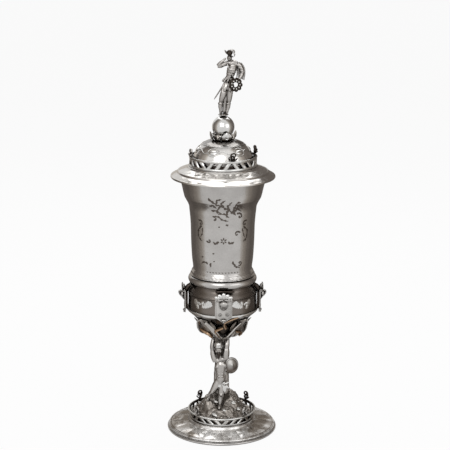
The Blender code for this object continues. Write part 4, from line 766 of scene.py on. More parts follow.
def build_cloth():
    """The carrying figure's cloth: a roll round the hips, hanging ends and a knot at the front."""
    cloth = bmesh.new()
    for k in range(7):
        path = []
        for i in range(25):
            a = tau * i / 24
            sag = 1.3 * cos(a - 0.4) + 0.35 * sin(3 * a + k)
            x = -1.2 + (6.2 - 0.12 * k) * sin(a)
            path.append(man_key(x, 0.2 - (4.9 - 0.1 * k) * cos(a), 21.6 + 0.6 * k - sag, 0.62))
        sweep(cloth, path, 8)
    for k in range(9):
        x = 1.1 + 0.55 * k * (1 if k < 6 else 0.6)
        end = (x + 0.5 * sin(k), -5.3 + 0.4 * cos(2 * k), 14.9 + 0.5 * abs(k - 4), 0.55)
        man_limb(cloth, [(2.6, -4.9, 22.6, 0.8), (x, -5.5, 20, 0.7), end], 8, 4)
    for k in range(5):
        bulge = (0.6 + 1.6 * k, -6.3, 26 + sin(1.9 * k), 1)
        man_limb(cloth, [(3, -4.9, 24.4, 1.1), bulge, (3.2, -5.3, 23.2, 0.8)], 8, 4)
    for k in range(4):
        end = (3.6 + 1.6 * k, -4.2, 17.2 + 0.5 * k, 0.6)
        man_limb(cloth, [(0.2 + 0.9 * k, -4.6, 24.6, 0.9), (2 + 1.5 * k, -5, 20.4, 0.9), end], 8, 4)
    piece("figure_cloth", melt("figure_cloth", cloth, 0.35, 2), BURNISHED, "cup", angle=80)


# The main stem, a second crown behind it, the two arms of its fork and a cut branch
TRUNK_STEMS = (
    (((2.4, 1.4, 36.6, 5.9), (2.6, 1.6, 42, 5.2), (2.6, 1.6, 52, 5.1), (2.2, 1.2, 66, 4.8),
      (1.6, 0.9, 82, 4.7), (1.2, 0.7, 95, 4.9), (1, 0.6, STEM_TOP, 5.2)), 5, 20),
    (((1.3, 1.6, 64, 2.8), (-6, 1.6, 81.6, 2.7), (-8.6, 1.6, STEM_TOP, 2.7)), 6, 14),
    (((1.3, 1.6, 64, 2.8), (3, 1.6, 81.6, 2.7), (4.3, 1.6, STEM_TOP, 2.7)), 6, 14),
    (((0, 3, 70, 2.2), (-1.6, 6.2, 73, 1.8), (-2.2, 7.6, 76.5, 1.3)), 4, 12),
    # A second crown: dark bark along the figure's left side, painted shade.
    (((-3.6, 2.4, 36.6, 5.8), (-3.6, 2.6, 46, 5), (-3.4, 2.6, 57, 4.9), (-3.2, 2.2, 68, 4.2),
      (-3.6, 1.8, 84, 3.9), (-4.2, 1.4, STEM_TOP, 4.2)), 6, 16),
)


def build_trunk():
    """Gnarled trunk behind the figure, with a cut branch, bark ridges and the round shield."""
    shape = bmesh.new()
    for keys, spans, sides in TRUNK_STEMS:
        sweep(shape, fair(keys, spans), sides)
    for a, reach in ((20, 5.6), (95, 6), (170, 5), (235, 5.4), (300, 5.2)):
        x, y, _ = polar(a, reach, 0)
        root = [(2.2, 1.6, 42, 2.6), (2.2 + 0.6 * x, 1.6 + 0.6 * y, 38.6, 1.8), (2.2 + x, 1.6 + y, 36.2, 1.1)]
        sweep(shape, fair(root, 3), 10)
    mesh = melt("fine_trunk", shape, 0.4, 2)

    def bark(p):
        a = atan2(p.y - 1, p.x - 1.2)
        twist = a * 5 + 0.09 * p.z + 1.4 * noise.noise(p * 0.12)
        return 0.32 * sin(twist) * abs(sin(twist)) + 0.22 * noise.noise(Vector((p.x, p.y, 0.35 * p.z)) * 0.8)

    # The bark's dark tone is partly painted shade behind the figure.
    piece("fine_trunk", roughened(mesh, bark), BARK, "cup", ["stem_trunk"], 80)
    rise = [(0, 3.7), (1.4, 3.65), (1.9, 3.3), (2.6, 3.2), (4.6, 2.8), (6.4, 2.1), (7, 1.75), (7.4, 1.9)]
    rise += [(8.1, 1.7), (8.75, 1.1), (8.8, 0.3), (8.4, 0), (0, 0)]
    mesh = lathe("fine_shield", rise, 96, closed=False)
    middle = FOOT_LEVEL + 0.55 * (STEM_TOP - FOOT_LEVEL)
    mesh.transform(Matrix.Scale(8.6 / 8.8, 4))
    mesh.transform(Matrix.Translation((9.2 * MM, -1.6 * MM, middle * MM)) @ spin(30) @ spin(82, "X"))
    # The shield's lower part is darker: painted shade.
    piece("fine_shield", mesh, SHIELD, "cup", ["figure_shield"])


# Basket under the bowl

BASKET_OUTER = [(12.6, 101.9), (17.8, 103.2), (21.6, 106.4), (24.2, 110.8), (26.2, 115.4), (29.3, 120.4),
                (31.9, 123.6), (33.4, 124.4)]
BASKET_INNER = [(12, 102.6), (15.8, 104.8), (18.9, 108), (21.2, 112), (22.8, 115.4), (23.8, 117.2)]
# Straps as (bearing, height, radius) keys. The front and the back have all, the sides the last
BANDS = (
    [(2, 123.6, 1.5), (3, 120.2, 1.9), (6, 116.4, 1.5)],
    [(0, 117.4, 1.2), (-10, 115, 1.6), (-18, 112.2, 1.6), (-15, 109.4, 1.6), (-9, 104.4, 1.3)],
    [(-60, 111.4, 1.2), (-46, 109.4, 1.7), (-36, 107.6, 1.8), (-33, 103.4, 1.3)],
)
# A strap over the bowl's ring as (bearing, radius, height, radius of the strap) keys
RIM_STRAP = [(1, 37.6, 124.8, 0.8), (8, 36.6, 126.6, 0.9), (15, 36.6, 128.2, 0.9), (24, 36.8, 129.6, 0.6)]


def wrapped(keys, lift, turn=0):
    """Points through (bearing, height, radius) keys laid on the basket's outer line."""
    keys = [(turn + b, z, r) for b, z, r in keys]
    return [(*polar(b, radius_on(BASKET_OUTER, z) + lift, z), r) for b, z, r in fair(keys, 6)]


def petal(shape, line, turn, *how, **more):
    """Adds one leaf along a line of (radius, height) points at a bearing."""
    one = bmesh.new()
    leaf(one, [(0, -r, z) for r, z in line], *how, **more)
    add_mesh(shape, mesh_of("petal", one), spin(turn))


def build_basket():
    """Plate, core, crossing straps, scroll arms and lobed leaves."""
    plate = [(0, PLATE_TOP), (8, PLATE_TOP), (11, PLATE_TOP), (12, 102.6), (12.5, 102.1), (12.4, 101.6)]
    plate += [(11.6, 101.3), (11.4, 101), (0, 100.9)]

    def notch(a, r, z):
        return (r * (1 + 0.045 * abs(sin(8 * a))) if r > 10 else r), z

    turned("fine_calyx_plate", plate, CAST, "cup", ["calyx_plate"], 160, closed=False, form=notch)
    core = [(5, 103.2), (4.9, 104.2), (3.2, 105.8), (2.9, 107.2), (4, 108.6), (4.2, 109.4), (3, 110.8)]
    core = fair(core + [(2.9, 112), (4.4, 113.2), (4.7, 114.2)])
    turned("fine_calyx_core", [(1.9, 103.2)] + core + [(1.9, 114.2)], CAST, "cup", ["calyx_core"], 64)
    for i, name in enumerate(SIDES):
        shape = bmesh.new()
        for s in (-1, 1):
            ribbon = [(s * 3, 102.9, 1.4), (s * 10, 104.8, 2), (s * 18, 110, 2.4), (s * 27, 116, 2.3)]
            sweep(shape, wrapped(ribbon + [(s * 36, 121.6, 1.5)], 1), 12, 0.5)
        place = spin(BRACKET_TURN + 90 * i)
        cast(f"fine_calyx_scroll_{name}", shape, CALYX, "cup", [f"calyx_scroll_{name}"], 60, place)
    for i, name in enumerate(CORNERS):
        shape = bmesh.new()
        leaf(shape, [(0, -r, z) for r, z in BASKET_OUTER], 19, 1.1, 3, 0.2, 0.7, rows=36, notch=0.36)
        for turn in (-21, 21):
            petal(shape, BASKET_OUTER[:-1], turn, 7.5, 0.9, 2, 0.16, 0.6, rows=30, notch=0.3)
        place = spin(BRACKET_TURN + 45 + 90 * i)
        # The corner leaves' dark metal is painted shade under the bowl.
        cast(f"fine_calyx_leaf_{name}", shape, BASKET, "cup", [f"calyx_leaf_{name}"], 60, place)
    # Inner leaves in near-black metal: painted shade inside the basket.
    shade = bmesh.new()
    for i in range(12):
        petal(shade, BASKET_INNER, BRACKET_TURN + 30 * i, 14.5, 0.6, 2, 0.1, 0.3, rows=20, notch=0.1)
    cast("calyx_inner_leaves", shade, PAINTED_SHADE, "cup", angle=60)
    straps = bmesh.new()
    for i in range(4):
        turn = BRACKET_TURN + 90 * i
        for keys in BANDS[2 * (i % 2):]:
            sweep(straps, wrapped(keys, 1.9, turn), 10, 0.45)
        if i % 2 == 0:
            sweep(straps, [(*polar(turn + b, r, z), size) for b, r, z, size in fair(RIM_STRAP, 5)], 8)
    # The straps' brown-tinted metal is painted shade with a painted warm reflection.
    cast("calyx_straps", straps, WARM_SHADE, "cup", angle=60)


# Bowl, torus and beaker

KNOP_SIDE = fair([(30.4, 158.1), (30.4, 156.6), (30.9, 154.9), (32, 153.2), (33.6, 151.2), (34.6, 149.8)])
KNOP_SIDE += [(34.9, 149.3), (35.3, 149.2), (35.55, 148.8), (35.4, 148.3), (35, 148.1), (34.9, 147.6)]
KNOP_SIDE += [(35.25, 147.4), (35.4, 147), (35.2, 146.6)]
KNOP_SIDE += [(35.1, 146.2), (35.2, 140), (35.2, 132.6), (35.3, 132.3)]
KNOP_BELLY = [(35.35, 128.6), (33.6, 127), (31.4, 125.2), (29.2, 122.8), (26.9, 120.4), (24, 118.6)]
KNOP_SIDE += fair(KNOP_BELLY + [(19, 116.3), (13, 114.9)])


def build_bowl():
    """Bulged bowl, its ring and the torus over it."""
    inner = [(r - WALL if r > 14 else r, z + (WALL if z < 126 else 0)) for r, z in reversed(KNOP_SIDE)]
    profile = KNOP_SIDE + [(1.9, KNOP_BASE), (1.9, KNOP_BASE + WALL)] + inner
    # The bowl's dark metal is painted shade.
    turned("fine_knop", profile, KNOP_SHADE, "cup", ["knop_bowl"])
    ring = [(35.4, 132.2), (36.1, 132.2), (36.9, 131.7), (37.1, 130.9), (36.9, 130.2), (36.3, 129.8)]
    turned("fine_knop_ring", ring + [(36.2, 129.3), (35.4, 129.2)], BURNISHED, "cup", ["knop_rim_ring"])
    torus = [(29.3, TORUS_BASE), (31.2, TORUS_BASE), (31.6, 158.7)]
    for k in range(17):
        a = radians(-84 + 168 * k / 16)
        torus.append((31.4 + 3.9 * cos(a), TORUS_BASE + 4.4 + 4.2 * sin(a)))
    turned("fine_torus", torus + [(31.4, 167.1), (29.3, 167.2)], POLISHED, "cup", ["torus_ring"])


BEAKER_LIP = [(45.2, 273), (44.2, 269), (42.6, 263.4), (41.2, 257.6), (40.1, 252.6), (39.1, 249)]
BEAKER_NECK = [(39.1, 249), (37.6, 246.3), (36, 243.4), (34.8, 240.4), (34.3, 237.8)]
BEAKER_WALL = [(34.2, 236), (33.4, 228.4), (32.8, 219.5), (32.4, 203), (31.5, 186), (30.5, 177.4)]
BEAKER_SIDE = fair(BEAKER_LIP, 5) + fair(BEAKER_NECK, 5)[1:]
BEAKER_SIDE += [(34.28, 237.4), (34.26, 236.9), (34.23, 236.6)] + fair(BEAKER_WALL + [(30.3, 174.4)], 5)


def rope(a, r, z):
    """Twisted edge on the beaker's bead."""
    if 167.6 < z < 172 and r > 31:
        return r + 0.06 * sin(46 * a + 1.6 * (z - 168)), z
    return r, z


def build_beaker():
    """Beaker with its bead and spigot, and the wire under its lip."""
    bead = [(30.3, 173.6), (30.6, 173.2), (31, 172.6), (31.1, 172.1), (31.5, 171.7), (31.95, 170.9)]
    bead += [(32.2, 169.9), (32.3, 169.1), (32.7, 168.5), (33.3, 168), (33.4, 167.6), (32.8, 167.5)]
    spigot = [(28.9, 167.5), (28.9, 153.5), (27.7, 153.5), (27.7, 172.2)]
    inner = [(r - WALL, z) for r, z in reversed(BEAKER_SIDE) if abs(z - 237.1) > 0.6]
    turned("fine_beaker", BEAKER_SIDE + bead + spigot + inner, POLISHED, "cup", ["beaker"], 300, form=rope)
    wire = [(46.6 + 1.1 * cos(tau * k / 14), 271.9 + 1.1 * sin(tau * k / 14)) for k in range(14)]
    turned("fine_lip_wire", wire, BURNISHED, "cup", ["lip_wire"])


# Engraving and chasing laid on the turned walls

STROKE_WIDTH = 1.9


def stroke(shape, points, outline, lift, bearing):
    """Adds one tapered cut through (u, v, width) points: u runs along the wall, v is the height."""
    rows = []
    last = len(points) - 1
    for i, (u, v, width) in enumerate(points):
        before = points[max(i - 1, 0)]
        after = points[min(i + 1, last)]
        du = after[0] - before[0]
        dv = after[1] - before[1]
        wide = STROKE_WIDTH * width / (hypot(du, dv) or 1)
        row = []
        for side, height in ((-0.5, -0.02), (0, lift), (0.5, -0.02)):
            z = v + du * wide * side
            radius = radius_on(outline, z)
            turn = degrees((u - dv * wide * side) / radius)
            row.append(shape.verts.new(polar(bearing + turn, radius + height, z)))
        rows.append(row)
    strip(shape, rows)


def blade(u, v, reach, turn, bend, width, start=0.1, grow=0.88, shares=(0, 0.2, 0.4, 0.6, 0.8, 1)):
    """A small leaf in (u, v) as a stroke that bends as it runs and is widest in the middle."""
    points = []
    for t in shares:
        a = turn - bend * t
        points.append((u + reach * t * cos(a), v + reach * t * sin(a), width * sin(pi * (start + grow * t))))
    return points


def flourish(u, v, size, turn, hand, width=0.5, curl=1.6):
    """A foliate scroll in (u, v): a spiral stem with leaves along its outer side, as strokes."""
    winding = spiral(26, size, 0.18 * size, turn, hand * 360 * curl)
    strokes = [[(u + x, v + y, width * (1 - 0.45 * t)) for x, y, t in winding]]
    for i in range(1, 12, 2):
        x, y, _ = winding[i]
        reach = size * 0.5 * (1 - i / 18)
        strokes.append(blade(u + x, v + y, reach, atan2(y, x), hand * 0.95, width * 1.7, 0.12, 0.86))
    eye = 0.16 * size
    strokes.append([(u + eye * cos(a), v + eye * sin(a), width) for a in (0, 1.3, 2.6, 3.9, 5.2, 6.3)])
    return strokes


def sprig(u, v, length, turn, pairs, width):
    """A leafy twig in (u, v) as strokes."""
    a = radians(turn)

    def spot(t):
        return u + length * t * cos(a + 0.25 * t), v + length * t * sin(a + 0.25 * t)

    strokes = [[(*spot(t), width * (1.1 - 0.6 * t)) for t in (0, 0.25, 0.5, 0.75, 1)]]
    for i in range(pairs):
        t = (i + 0.6) / pairs
        reach = length * 0.34 * (1.15 - 0.6 * t)
        for side in (-1, 1):
            strokes.append(blade(*spot(t), reach, a + side * 0.85, 0, width * 1.9, shares=(0, 0.3, 0.6, 1)))
    return strokes


def vine(points, leaves, width):
    """A bending stem in (u, v) with leaves on alternate sides, as strokes."""
    stem = fair(points, 6)
    last = len(stem) - 1
    strokes = [[(u, v, width * (1.15 - 0.5 * i / last)) for i, (u, v) in enumerate(stem)]]
    for k in range(leaves):
        i = 1 + (last - 2) * k // leaves
        u, v = stem[i]
        side = 1 if k % 2 else -1
        turn = atan2(stem[i + 1][1] - v, stem[i + 1][0] - u) + 0.75 * side
        strokes.append(blade(u, v, 3.2 * (1 - 0.35 * k / leaves), turn, 1.1 * side, 1.9 * width))
    return strokes


def engrave(name, strokes, outline, bearing, look, body, lift=0.07):
    """A piece made of strokes on a turned wall."""
    shape = bmesh.new()
    for points in strokes:
        stroke(shape, points, outline, lift, bearing)
    bmesh.ops.recalc_face_normals(shape, faces=shape.faces)
    piece(name, finished(name, shape), look, body, angle=180)


# Vines on the beaker: (u, v) points, number of leaves, width. The last three are low on the wall
VINES = (
    (((-15, 255), (-9.5, 250.4), (-2, 247), (5, 243), (10, 239.4), (13.4, 236.6)), 8, 1.15),
    (((10, 239.6), (12, 244.5), (14.6, 249.4), (18.6, 250.4)), 4, 1.1),
    (((13, 248), (17.4, 247), (20.4, 242.6)), 3, 0.9),
    (((11, 241.2), (15.4, 242.6), (19.4, 240)), 2, 1),
    (((5, 243.2), (5.6, 247.6), (9.4, 251.4)), 3, 1),
    (((-7, 249.2), (-5.4, 253.4), (-1.4, 254.6)), 3, 0.8),
    (((-11.6, 241.8), (-6, 241.2), (-0.6, 238), (4.6, 238.2)), 4, 0.85),
    (((-2, 246.8), (-5.6, 241.6), (-4, 237.4)), 2, 0.85),
    (((-10.4, 235.4), (-4.6, 235), (0.6, 231.6), (5.6, 230.6)), 4, 0.85),
    (((-9, 231), (-6.4, 233.6)), 1, 0.9),
    (((-13.6, 246.6), (-10, 247.4), (-6.4, 244.4)), 3, 1),
    (((1, 245.2), (-1.2, 250.4), (2.6, 253.2)), 3, 0.9),
    (((6, 242.2), (3.6, 237.4), (6.4, 234.4)), 3, 1),
    (((13.2, 243.2), (16.6, 246.4), (21.4, 246)), 3, 1),
    (((10.4, 188), (13, 183), (18.6, 180.4)), 3, 1),
    (((-15.6, 184.4), (-19.4, 186.4), (-23.4, 184)), 2, 0.9),
    (((-12, 186), (-12.6, 181.4)), 1, 1),
)
# Vines to both sides of the middle
SIDE_VINES = (
    (((22.6, 224), (27.6, 218.6), (26.6, 211), (22.2, 208)), 4, 1),
    (((21.6, 222), (22.4, 216), (24.6, 212)), 2, 0.7),
)
# Scrolls on the beaker: u, v, size, turn, hand, width, curl
SCROLLS = (
    (17.4, 234.8, 3.3, 130, -1, 1, 0.85),
    (24.6, 226.4, 3, 50, 1, 0.9, 0.9),
    (-24.6, 226.4, 3, 130, -1, 0.9, 0.9),
    (15, 216, 3.2, 30, 1, 0.8, 0.7),
    (-14, 210, 2.4, 200, 1, 0.8, 0.7),
    (18, 185.6, 2.6, 250, 1, 0.8, 0.9),
)
# Small leaves scattered over the beaker: u, v, size
SCATTER = ((-3.6, 224.4, 1), (4.4, 226.4, 1.6), (-9.4, 196.2, 1.2), (-22, 191.4, 1.3), (-8.6, 188, 0.9))


def build_engraving():
    """Vines, scrolls, a rosette with two sprays and small leaves on the beaker; panels on the bowl."""
    marks = []
    for points, leaves, width in VINES:
        marks += vine(points, leaves, width)
    for scroll in SCROLLS:
        marks += flourish(*scroll)
    for hand in (-1, 1):
        for points, leaves, width in SIDE_VINES:
            marks += vine([(hand * u, v) for u, v in points], leaves, width)
        marks += vine([(hand * 4.8 + 1, 209), (hand * 7.6 + 1, 207), (hand * 10.8 + 1, 208.6)], 2, 1)
    for k in range(6):
        x, y = cos(radians(60 * k + 30)), sin(radians(60 * k + 30))
        marks.append([(1 + t * x, 209.8 + t * y, width) for t, width in ((0.9, 0.5), (2.2, 1.2), (3.5, 0.4))])
    for u, v, size in SCATTER:
        marks.append([(u - 0.9 * size, v - 0.4, 0.4), (u, v, 1.1 * size), (u + 0.9 * size, v + 0.5, 0.4)])
    for k in range(11):
        u = -16 + 3.2 * k
        marks.append([(u - 1.1, 176.2, 0.2), (u, 175.7, 0.75), (u + 1.1, 176.1, 0.2)])
    for side, bearing in (("front", 0), ("back", 180)):
        engrave(f"beaker_engraving_{side}", marks, BEAKER_SIDE, bearing, ENGRAVED, "cup")
    marks = sprig(-12, 145.4, 11.6, -42, 4, 1.5) + sprig(9.6, 145, 9.4, 222, 3, 1.5)
    marks += flourish(4.6, 139.4, 3.2, 150, -1, 1.2, 0.8)
    marks.append([(-3.4, 145.4, 0.4), (-1.8, 144, 1.8), (-0.4, 142, 0.4)])
    mirrored = [[(-u, v, width) for u, v, width in points] for points in marks]
    for i in range(4):
        turn = 90 * i + (52 if i % 2 else 38)
        engrave(f"knop_foliage_{i}", mirrored if i % 2 else marks, KNOP_SIDE, turn, BURNISHED, "cup", 0.34)


# Strap brackets


def bracket_strap():
    """The strap with its rim, rolled top, leaf, bosses and rings."""
    shape = bmesh.new()
    outline = [(0, 125.4), (1.6, 126.3), (4.8, 128.7), (8.2, 131), (8.7, 131.6), (8.7, 149.6), (7.6, 150.4)]
    loop = outline + [(-x, z) for x, z in reversed(outline[1:])]
    rings = []
    for depth, shrink in ((37.8, 0.3), (38.1, 0), (38.9, 0), (BRACKET_FACE, 0.35)):
        ring = []
        for x, z in loop:
            z = 138.5 + (z - 138.5) * (1 - shrink / 12)
            ring.append(shape.verts.new((x * (1 - shrink / 9), -depth, z)))
        rings.append(ring)
    skin(shape, rings)
    sweep(shape, [(x * 0.9, -BRACKET_FACE, 138.6 + (z - 138.6) * 0.93, 0.28) for x, z in loop + loop[:1]], 6)
    roll = ((-7.4, 0.6), (-6.8, 1.2), (-5.4, 1.5), (5.4, 1.5), (6.8, 1.2), (7.4, 0.6))
    sweep(shape, [(x, -39.8, 150, r) for x, r in roll], 16, 0.85)
    curl = [(0, -39.2, 139.6), (0, -41.4, 142.6), (0, -44, 145.4), (0, -44.6, 148), (0, -42.6, 149.2)]
    leaf(shape, curl, 8.6, 1.6, 2, 0.14, 0.3, (1, 0, 0), 20, 0.3)
    ball(shape, (0, -41.2, 146), (4, 3, 3.4))
    ball(shape, (0, -40.2, 153), (2.6, 1.8, 3.4))
    for x in (-3.7, 3.7):
        turns = [tau * k / 14 for k in range(15)]
        sweep(shape, [(x + 1.45 * cos(a), -39.3, 134.2 + 1.45 * sin(a), 0.42) for a in turns], 8)
        ball(shape, (x, -39.3, 134.2), (0.8, 0.6, 0.8), segments=10)
    ball(shape, (0, -39.7, 128.5), (2.7, 1.3, 1.2), segments=14)
    ball(shape, (0, -39.4, 126.5), (1.2, 1.1, 1.1), segments=12)
    return shape


def bracket_crest():
    """The fan of five leaves over the strap."""
    shape = bmesh.new()
    low = 150.2
    for reach, top in ((-7.2, 154.6), (-4, 156.6), (0, 158), (4, 156.6), (7.2, 154.6)):
        rise = top - low
        fan = [(0.4 * reach, -40.2, low), (0.8 * reach, -41.6, low + 0.4 * rise)]
        fan += [(reach, -41.8, low + 0.75 * rise), (1.05 * reach, -41, top)]
        leaf(shape, fan, 4.2, 0.7, 1, 0.15, 0.35, (1, 0, 0), 12, 0.1)
    return shape


def bracket_arm():
    """The curved arm behind the strap, its foot on the bowl's rim and the pad that carries the strap; in
    near-black metal they are painted shade behind the strap and under the torus.
    """
    shape = bmesh.new()
    arm = [(0, -38.4, 143, 2), (0, -38.2, 148.4, 2.5), (0, -36, 152.6, 2.6), (0, -33, 155.2, 2.2)]
    sweep(shape, fair(arm + [(0, -30.8, 156.3, 1.7)], 5), 14)
    foot = ((-8, -31.6, 0.9), (-5, -32.4, 1.5), (8, -32.4, 1.5), (11, -31.6, 0.9))
    sweep(shape, [(x, y, 156.6, r) for x, y, r in foot])
    pad = Matrix.Translation((0, -36.8, 139.6)) @ Matrix.Diagonal((11, 2.1, 17.6, 1))
    bmesh.ops.create_cube(shape, size=1, matrix=pad)
    return shape


def bracket_marks(seed):
    """Short cuts in two columns on the strap's face."""
    dice = random.Random(seed)
    shape = bmesh.new()
    for k in range(15):
        middle = 133.4 + 0.95 * k
        for x in (2.6, 5.4):
            if dice.random() < 0.75:
                half = dice.uniform(0.5, 1.3)
                rows = []
                for u, w in ((x - half, 0.1), (x, 0.32), (x + half, 0.1)):
                    row = ((0.08, middle - w), (-0.03, middle), (0.08, middle + w))
                    rows.append([shape.verts.new((u, y - BRACKET_FACE, z)) for y, z in row])
                strip(shape, rows)
    return shape


def build_brackets():
    """Cast straps with a rolled top, a leaf crest, bosses, a stub and a curved arm."""
    for i, name in enumerate(SIDES):
        place = spin(BRACKET_TURN + 90 * i)
        cast(f"bracket_crest_{name}", bracket_crest(), BURNISHED, "cup", angle=60, place=place)
        # The arm and pad in near-black metal are painted shade.
        cast(f"bracket_arm_{name}", bracket_arm(), PAINTED_SHADE, "cup", angle=45, place=place)
        strap = f"strap_bracket_{name}"
        cast(f"fine_{strap}", bracket_strap(), STRAP, "cup", [strap], 45, place)
        mesh = finished("strap_marks", bracket_marks(30 + i))
        mesh.transform(place)
        piece(f"strap_marks_{name}", mesh, ENGRAVED, "cup", angle=180)


# Cover

DOME_SIDE = [(10 + 21.6 * cos(a), DOME_BASE + 26 * sin(a)) for a in [radians(90 - 5 * k) for k in range(19)]]


def on_dome(bearing, height, radius):
    """A key of a strap that lies on the dome."""
    return (*polar(bearing, radius_on(DOME_SIDE, height), height), radius)


def brim_form(a, r, z):
    """Shallow waves chased into the brim's upper side."""
    if 47.6 < r < 52.4 and z > 269.6:
        return r, z + 0.1 * sin(24 * a) * sin(pi * (r - 47.6) / 4.8)
    if 37.5 < r < 44.5 and z > 275:
        return r, z + 0.09 * sin(20 * a + 0.6 * (r - 41)) * sin(pi * (r - 37.5) / 7)
    return r, z


def build_cover():
    """Brim, bezel and dome, with medallions and links on the dome."""
    top = [(30.4, BRIM_TOP), (35, BRIM_TOP), (35.6, 280.9), (36.1, 280.3), (36.4, 279.7)]
    top += fair([(36.9, 279.3), (40, 277.9), (43.6, 276.6), (45, 276.1)])
    top += [(45.4, 276.25), (45.9, 276.2), (46.3, 275.8), (46.5, 275), (46.8, 274.5)]
    top += fair([(47.3, 274.2), (49.4, 273.1), (51.4, 271.9), (52.4, 271.3)])
    top += [(52.8, 271.25), (53.1, 270.95), (53.3, 270.4), (53.3, 269.8), (53, 269.3), (52.5, 269.15)]
    top += [(51.8, 269.3), (49.2, 271.2), (46.9, SEAT), (40, SEAT), (39.9, 276.2), (34.8, 279.7)]
    top.append((30.4, 279.8))
    turned("fine_brim", top, BRIM, "cover", ["cover_brim"], 260, form=brim_form)
    bezel = [(39.6, 275.6), (39.6, 265), (39.3, 264.4), (38.8, 264.3), (38.4, 264.6), (38.4, 276)]
    turned("fine_bezel", bezel, POLISHED, "cover", ["cover_bezel"], 200)
    crown = [(0, DOME_TOP)] + DOME_SIDE + [(30.4, DOME_BASE)]
    crown += [(max(0, r - WALL), z - WALL) for r, z in reversed(DOME_SIDE[:-1])] + [(0, DOME_TOP - WALL)]
    # The dome's metal paints shade at its foot and darkens towards the top.
    turned("fine_dome", crown, DOME, "cover", ["cover_dome"], closed=False)
    shape = bmesh.new()
    level = 298.4
    for i in range(6):
        bearing = -22 + 60 * i
        spot = polar(bearing, radius_on(DOME_SIDE, level) - 0.2, level)
        disc = Matrix.Translation(spot) @ spin(bearing) @ spin(-42, "X") @ Matrix.Diagonal((4.4, 1.1, 2.6, 1))
        bmesh.ops.create_uvsphere(shape, u_segments=20, v_segments=12, radius=1, matrix=disc)
        path = []
        for k in range(21):
            a = tau * k / 20
            z = level + 3.5 * sin(a)
            path.append(on_dome(bearing + degrees(6.2 * cos(a) / radius_on(DOME_SIDE, z)), z, 0.42))
        sweep(shape, path, 8)
        shares = [k / 10 for k in range(11)]
        sweep(shape, [on_dome(bearing + 12 + 36 * t, level + 1.5 * sin(tau * t), 0.42) for t in shares], 8)
    for z, wire in ((286.6, 0.35), (303.6, 0.45)):
        sweep(shape, [on_dome(b, z, wire) for b in range(0, 361, 6)], 8)
    cast("dome_strapwork", shape, BURNISHED, "cover", angle=80)
    marks = []
    zigzag = ((-7, 291.2), (-3, 293.6), (0, 290.4), (3, 293.6), (7, 291.2))
    drop = ((305, 0.3), (304.6, 1.2), (304, 0.3))
    for i in range(12):
        marks.append([(radians(30 * i + s) * 26, v, 0.6) for s, v in zigzag])
        marks.append([(radians(30 * i + 15) * 26, v, width) for v, width in drop])
    engrave("dome_engraving", marks, DOME_SIDE, 0, ENGRAVED, "cover", 0.06)


# Finial

# The figure is drawn 65.7 high from its soles and stands 64.6 high
HERO_SIZE = 64.6 / 65.7


def hero_key(x, y, z, r):
    """A key of the finial's figure in the cover."""
    return (x * HERO_SIZE, y * HERO_SIZE, PLINTH_TOP + z * HERO_SIZE, r * HERO_SIZE)


def hero_limb(shape, keys, sides=12, spans=5):
    """Adds a limb of the finial's figure."""
    sweep(shape, [hero_key(*key) for key in fair(keys, spans)], sides)


def hero_ball(shape, centre, radii, turn=(0, 0, 0)):
    """Adds a rounded mass of the finial's figure."""
    ball(shape, hero_key(*centre, 0)[:3], radii, turn, 18)


def build_calyx():
    """Leaf cup with curled leaves and tufts under the ball, and the ball."""
    cup = [(11, 313.1), (11.7, 312.6), (11.2, 311.4), (8, 310.2), (6.2, 309.2), (6.4, 308.6), (8.2, 308.2)]
    seat = [(1.4, 307.7), (1.4, 308.9), (5, 310), (8.4, 311.9), (10.6, 312.9)]
    shape = bmesh.new()
    curls = bmesh.new()
    add_mesh(shape, lathe("cup", fair(cup + [(8.4, 307.75)], 3) + seat, 96))
    for i in range(8):
        one = bmesh.new()
        if i % 2:
            tall = [(0, -8.6, 306.6), (0, -11.4, 308.8), (0, -13.2, 312.2), (0, -13.6, 316.8)]
            leaf(one, tall, 11.4, 0.9, 2, 0.14, 0.3)
            short = [(0, -7.8, 308.2), (0, -10.4, 308.6), (0, -12.4, 310.4), (0, -13, 309.2)]
            leaf(one, short, 5.4, 0.8, 2, 0.2, 0.25)
        else:
            curl = [(0, -9.6 - y, 311.2 + z, 1 - 0.3 * t) for y, z, t in spiral(20, 2.6, 1, -100, 380)]
            sweep(one, curl, 8, 1.2, (1, 0, 0))
            dice = random.Random(i)
            for k in range(16):
                a = tau * k / 16 * 5
                up = asin(2 * (k + 0.5) / 16 - 1)
                spot = (2.2 * cos(a) * cos(up), -10.2 - 1.7 * sin(a) * cos(up), 311.4 + 2.2 * sin(up))
                ball(one, spot, dice.uniform(0.7, 1), segments=8)
            for side in (-1, 1):
                spine = ((0.8, -8.2, 308.8), (2.8, -9.6, 309.6), (4.2, -10.2, 311.8), (3.6, -10.8, 313.6))
                leaf(one, [(side * x, y, z) for x, y, z in spine], 3.2, 0.6, 2, 0.2, 0.2, (0, 1, 0.3), 12)
        add_mesh(shape if i % 2 else curls, mesh_of("leaf", one), spin(62 + 45 * i))
    cast("fine_finial_calyx", shape, BURNISHED, "cover", ["finial_calyx"], 60)
    # The curls' dark metal is painted shade under the ball.
    cast("finial_calyx_curls", curls, BASKET, "cover", angle=60)
    turns = [radians(83 - 166 * k / 40) for k in range(41)]
    profile = [(BALL_RADIUS * cos(a), BALL_HEIGHT + BALL_RADIUS * sin(a)) for a in turns]
    turned("fine_finial_ball", profile, BURNISHED, "cover", ["finial_ball"], 128)


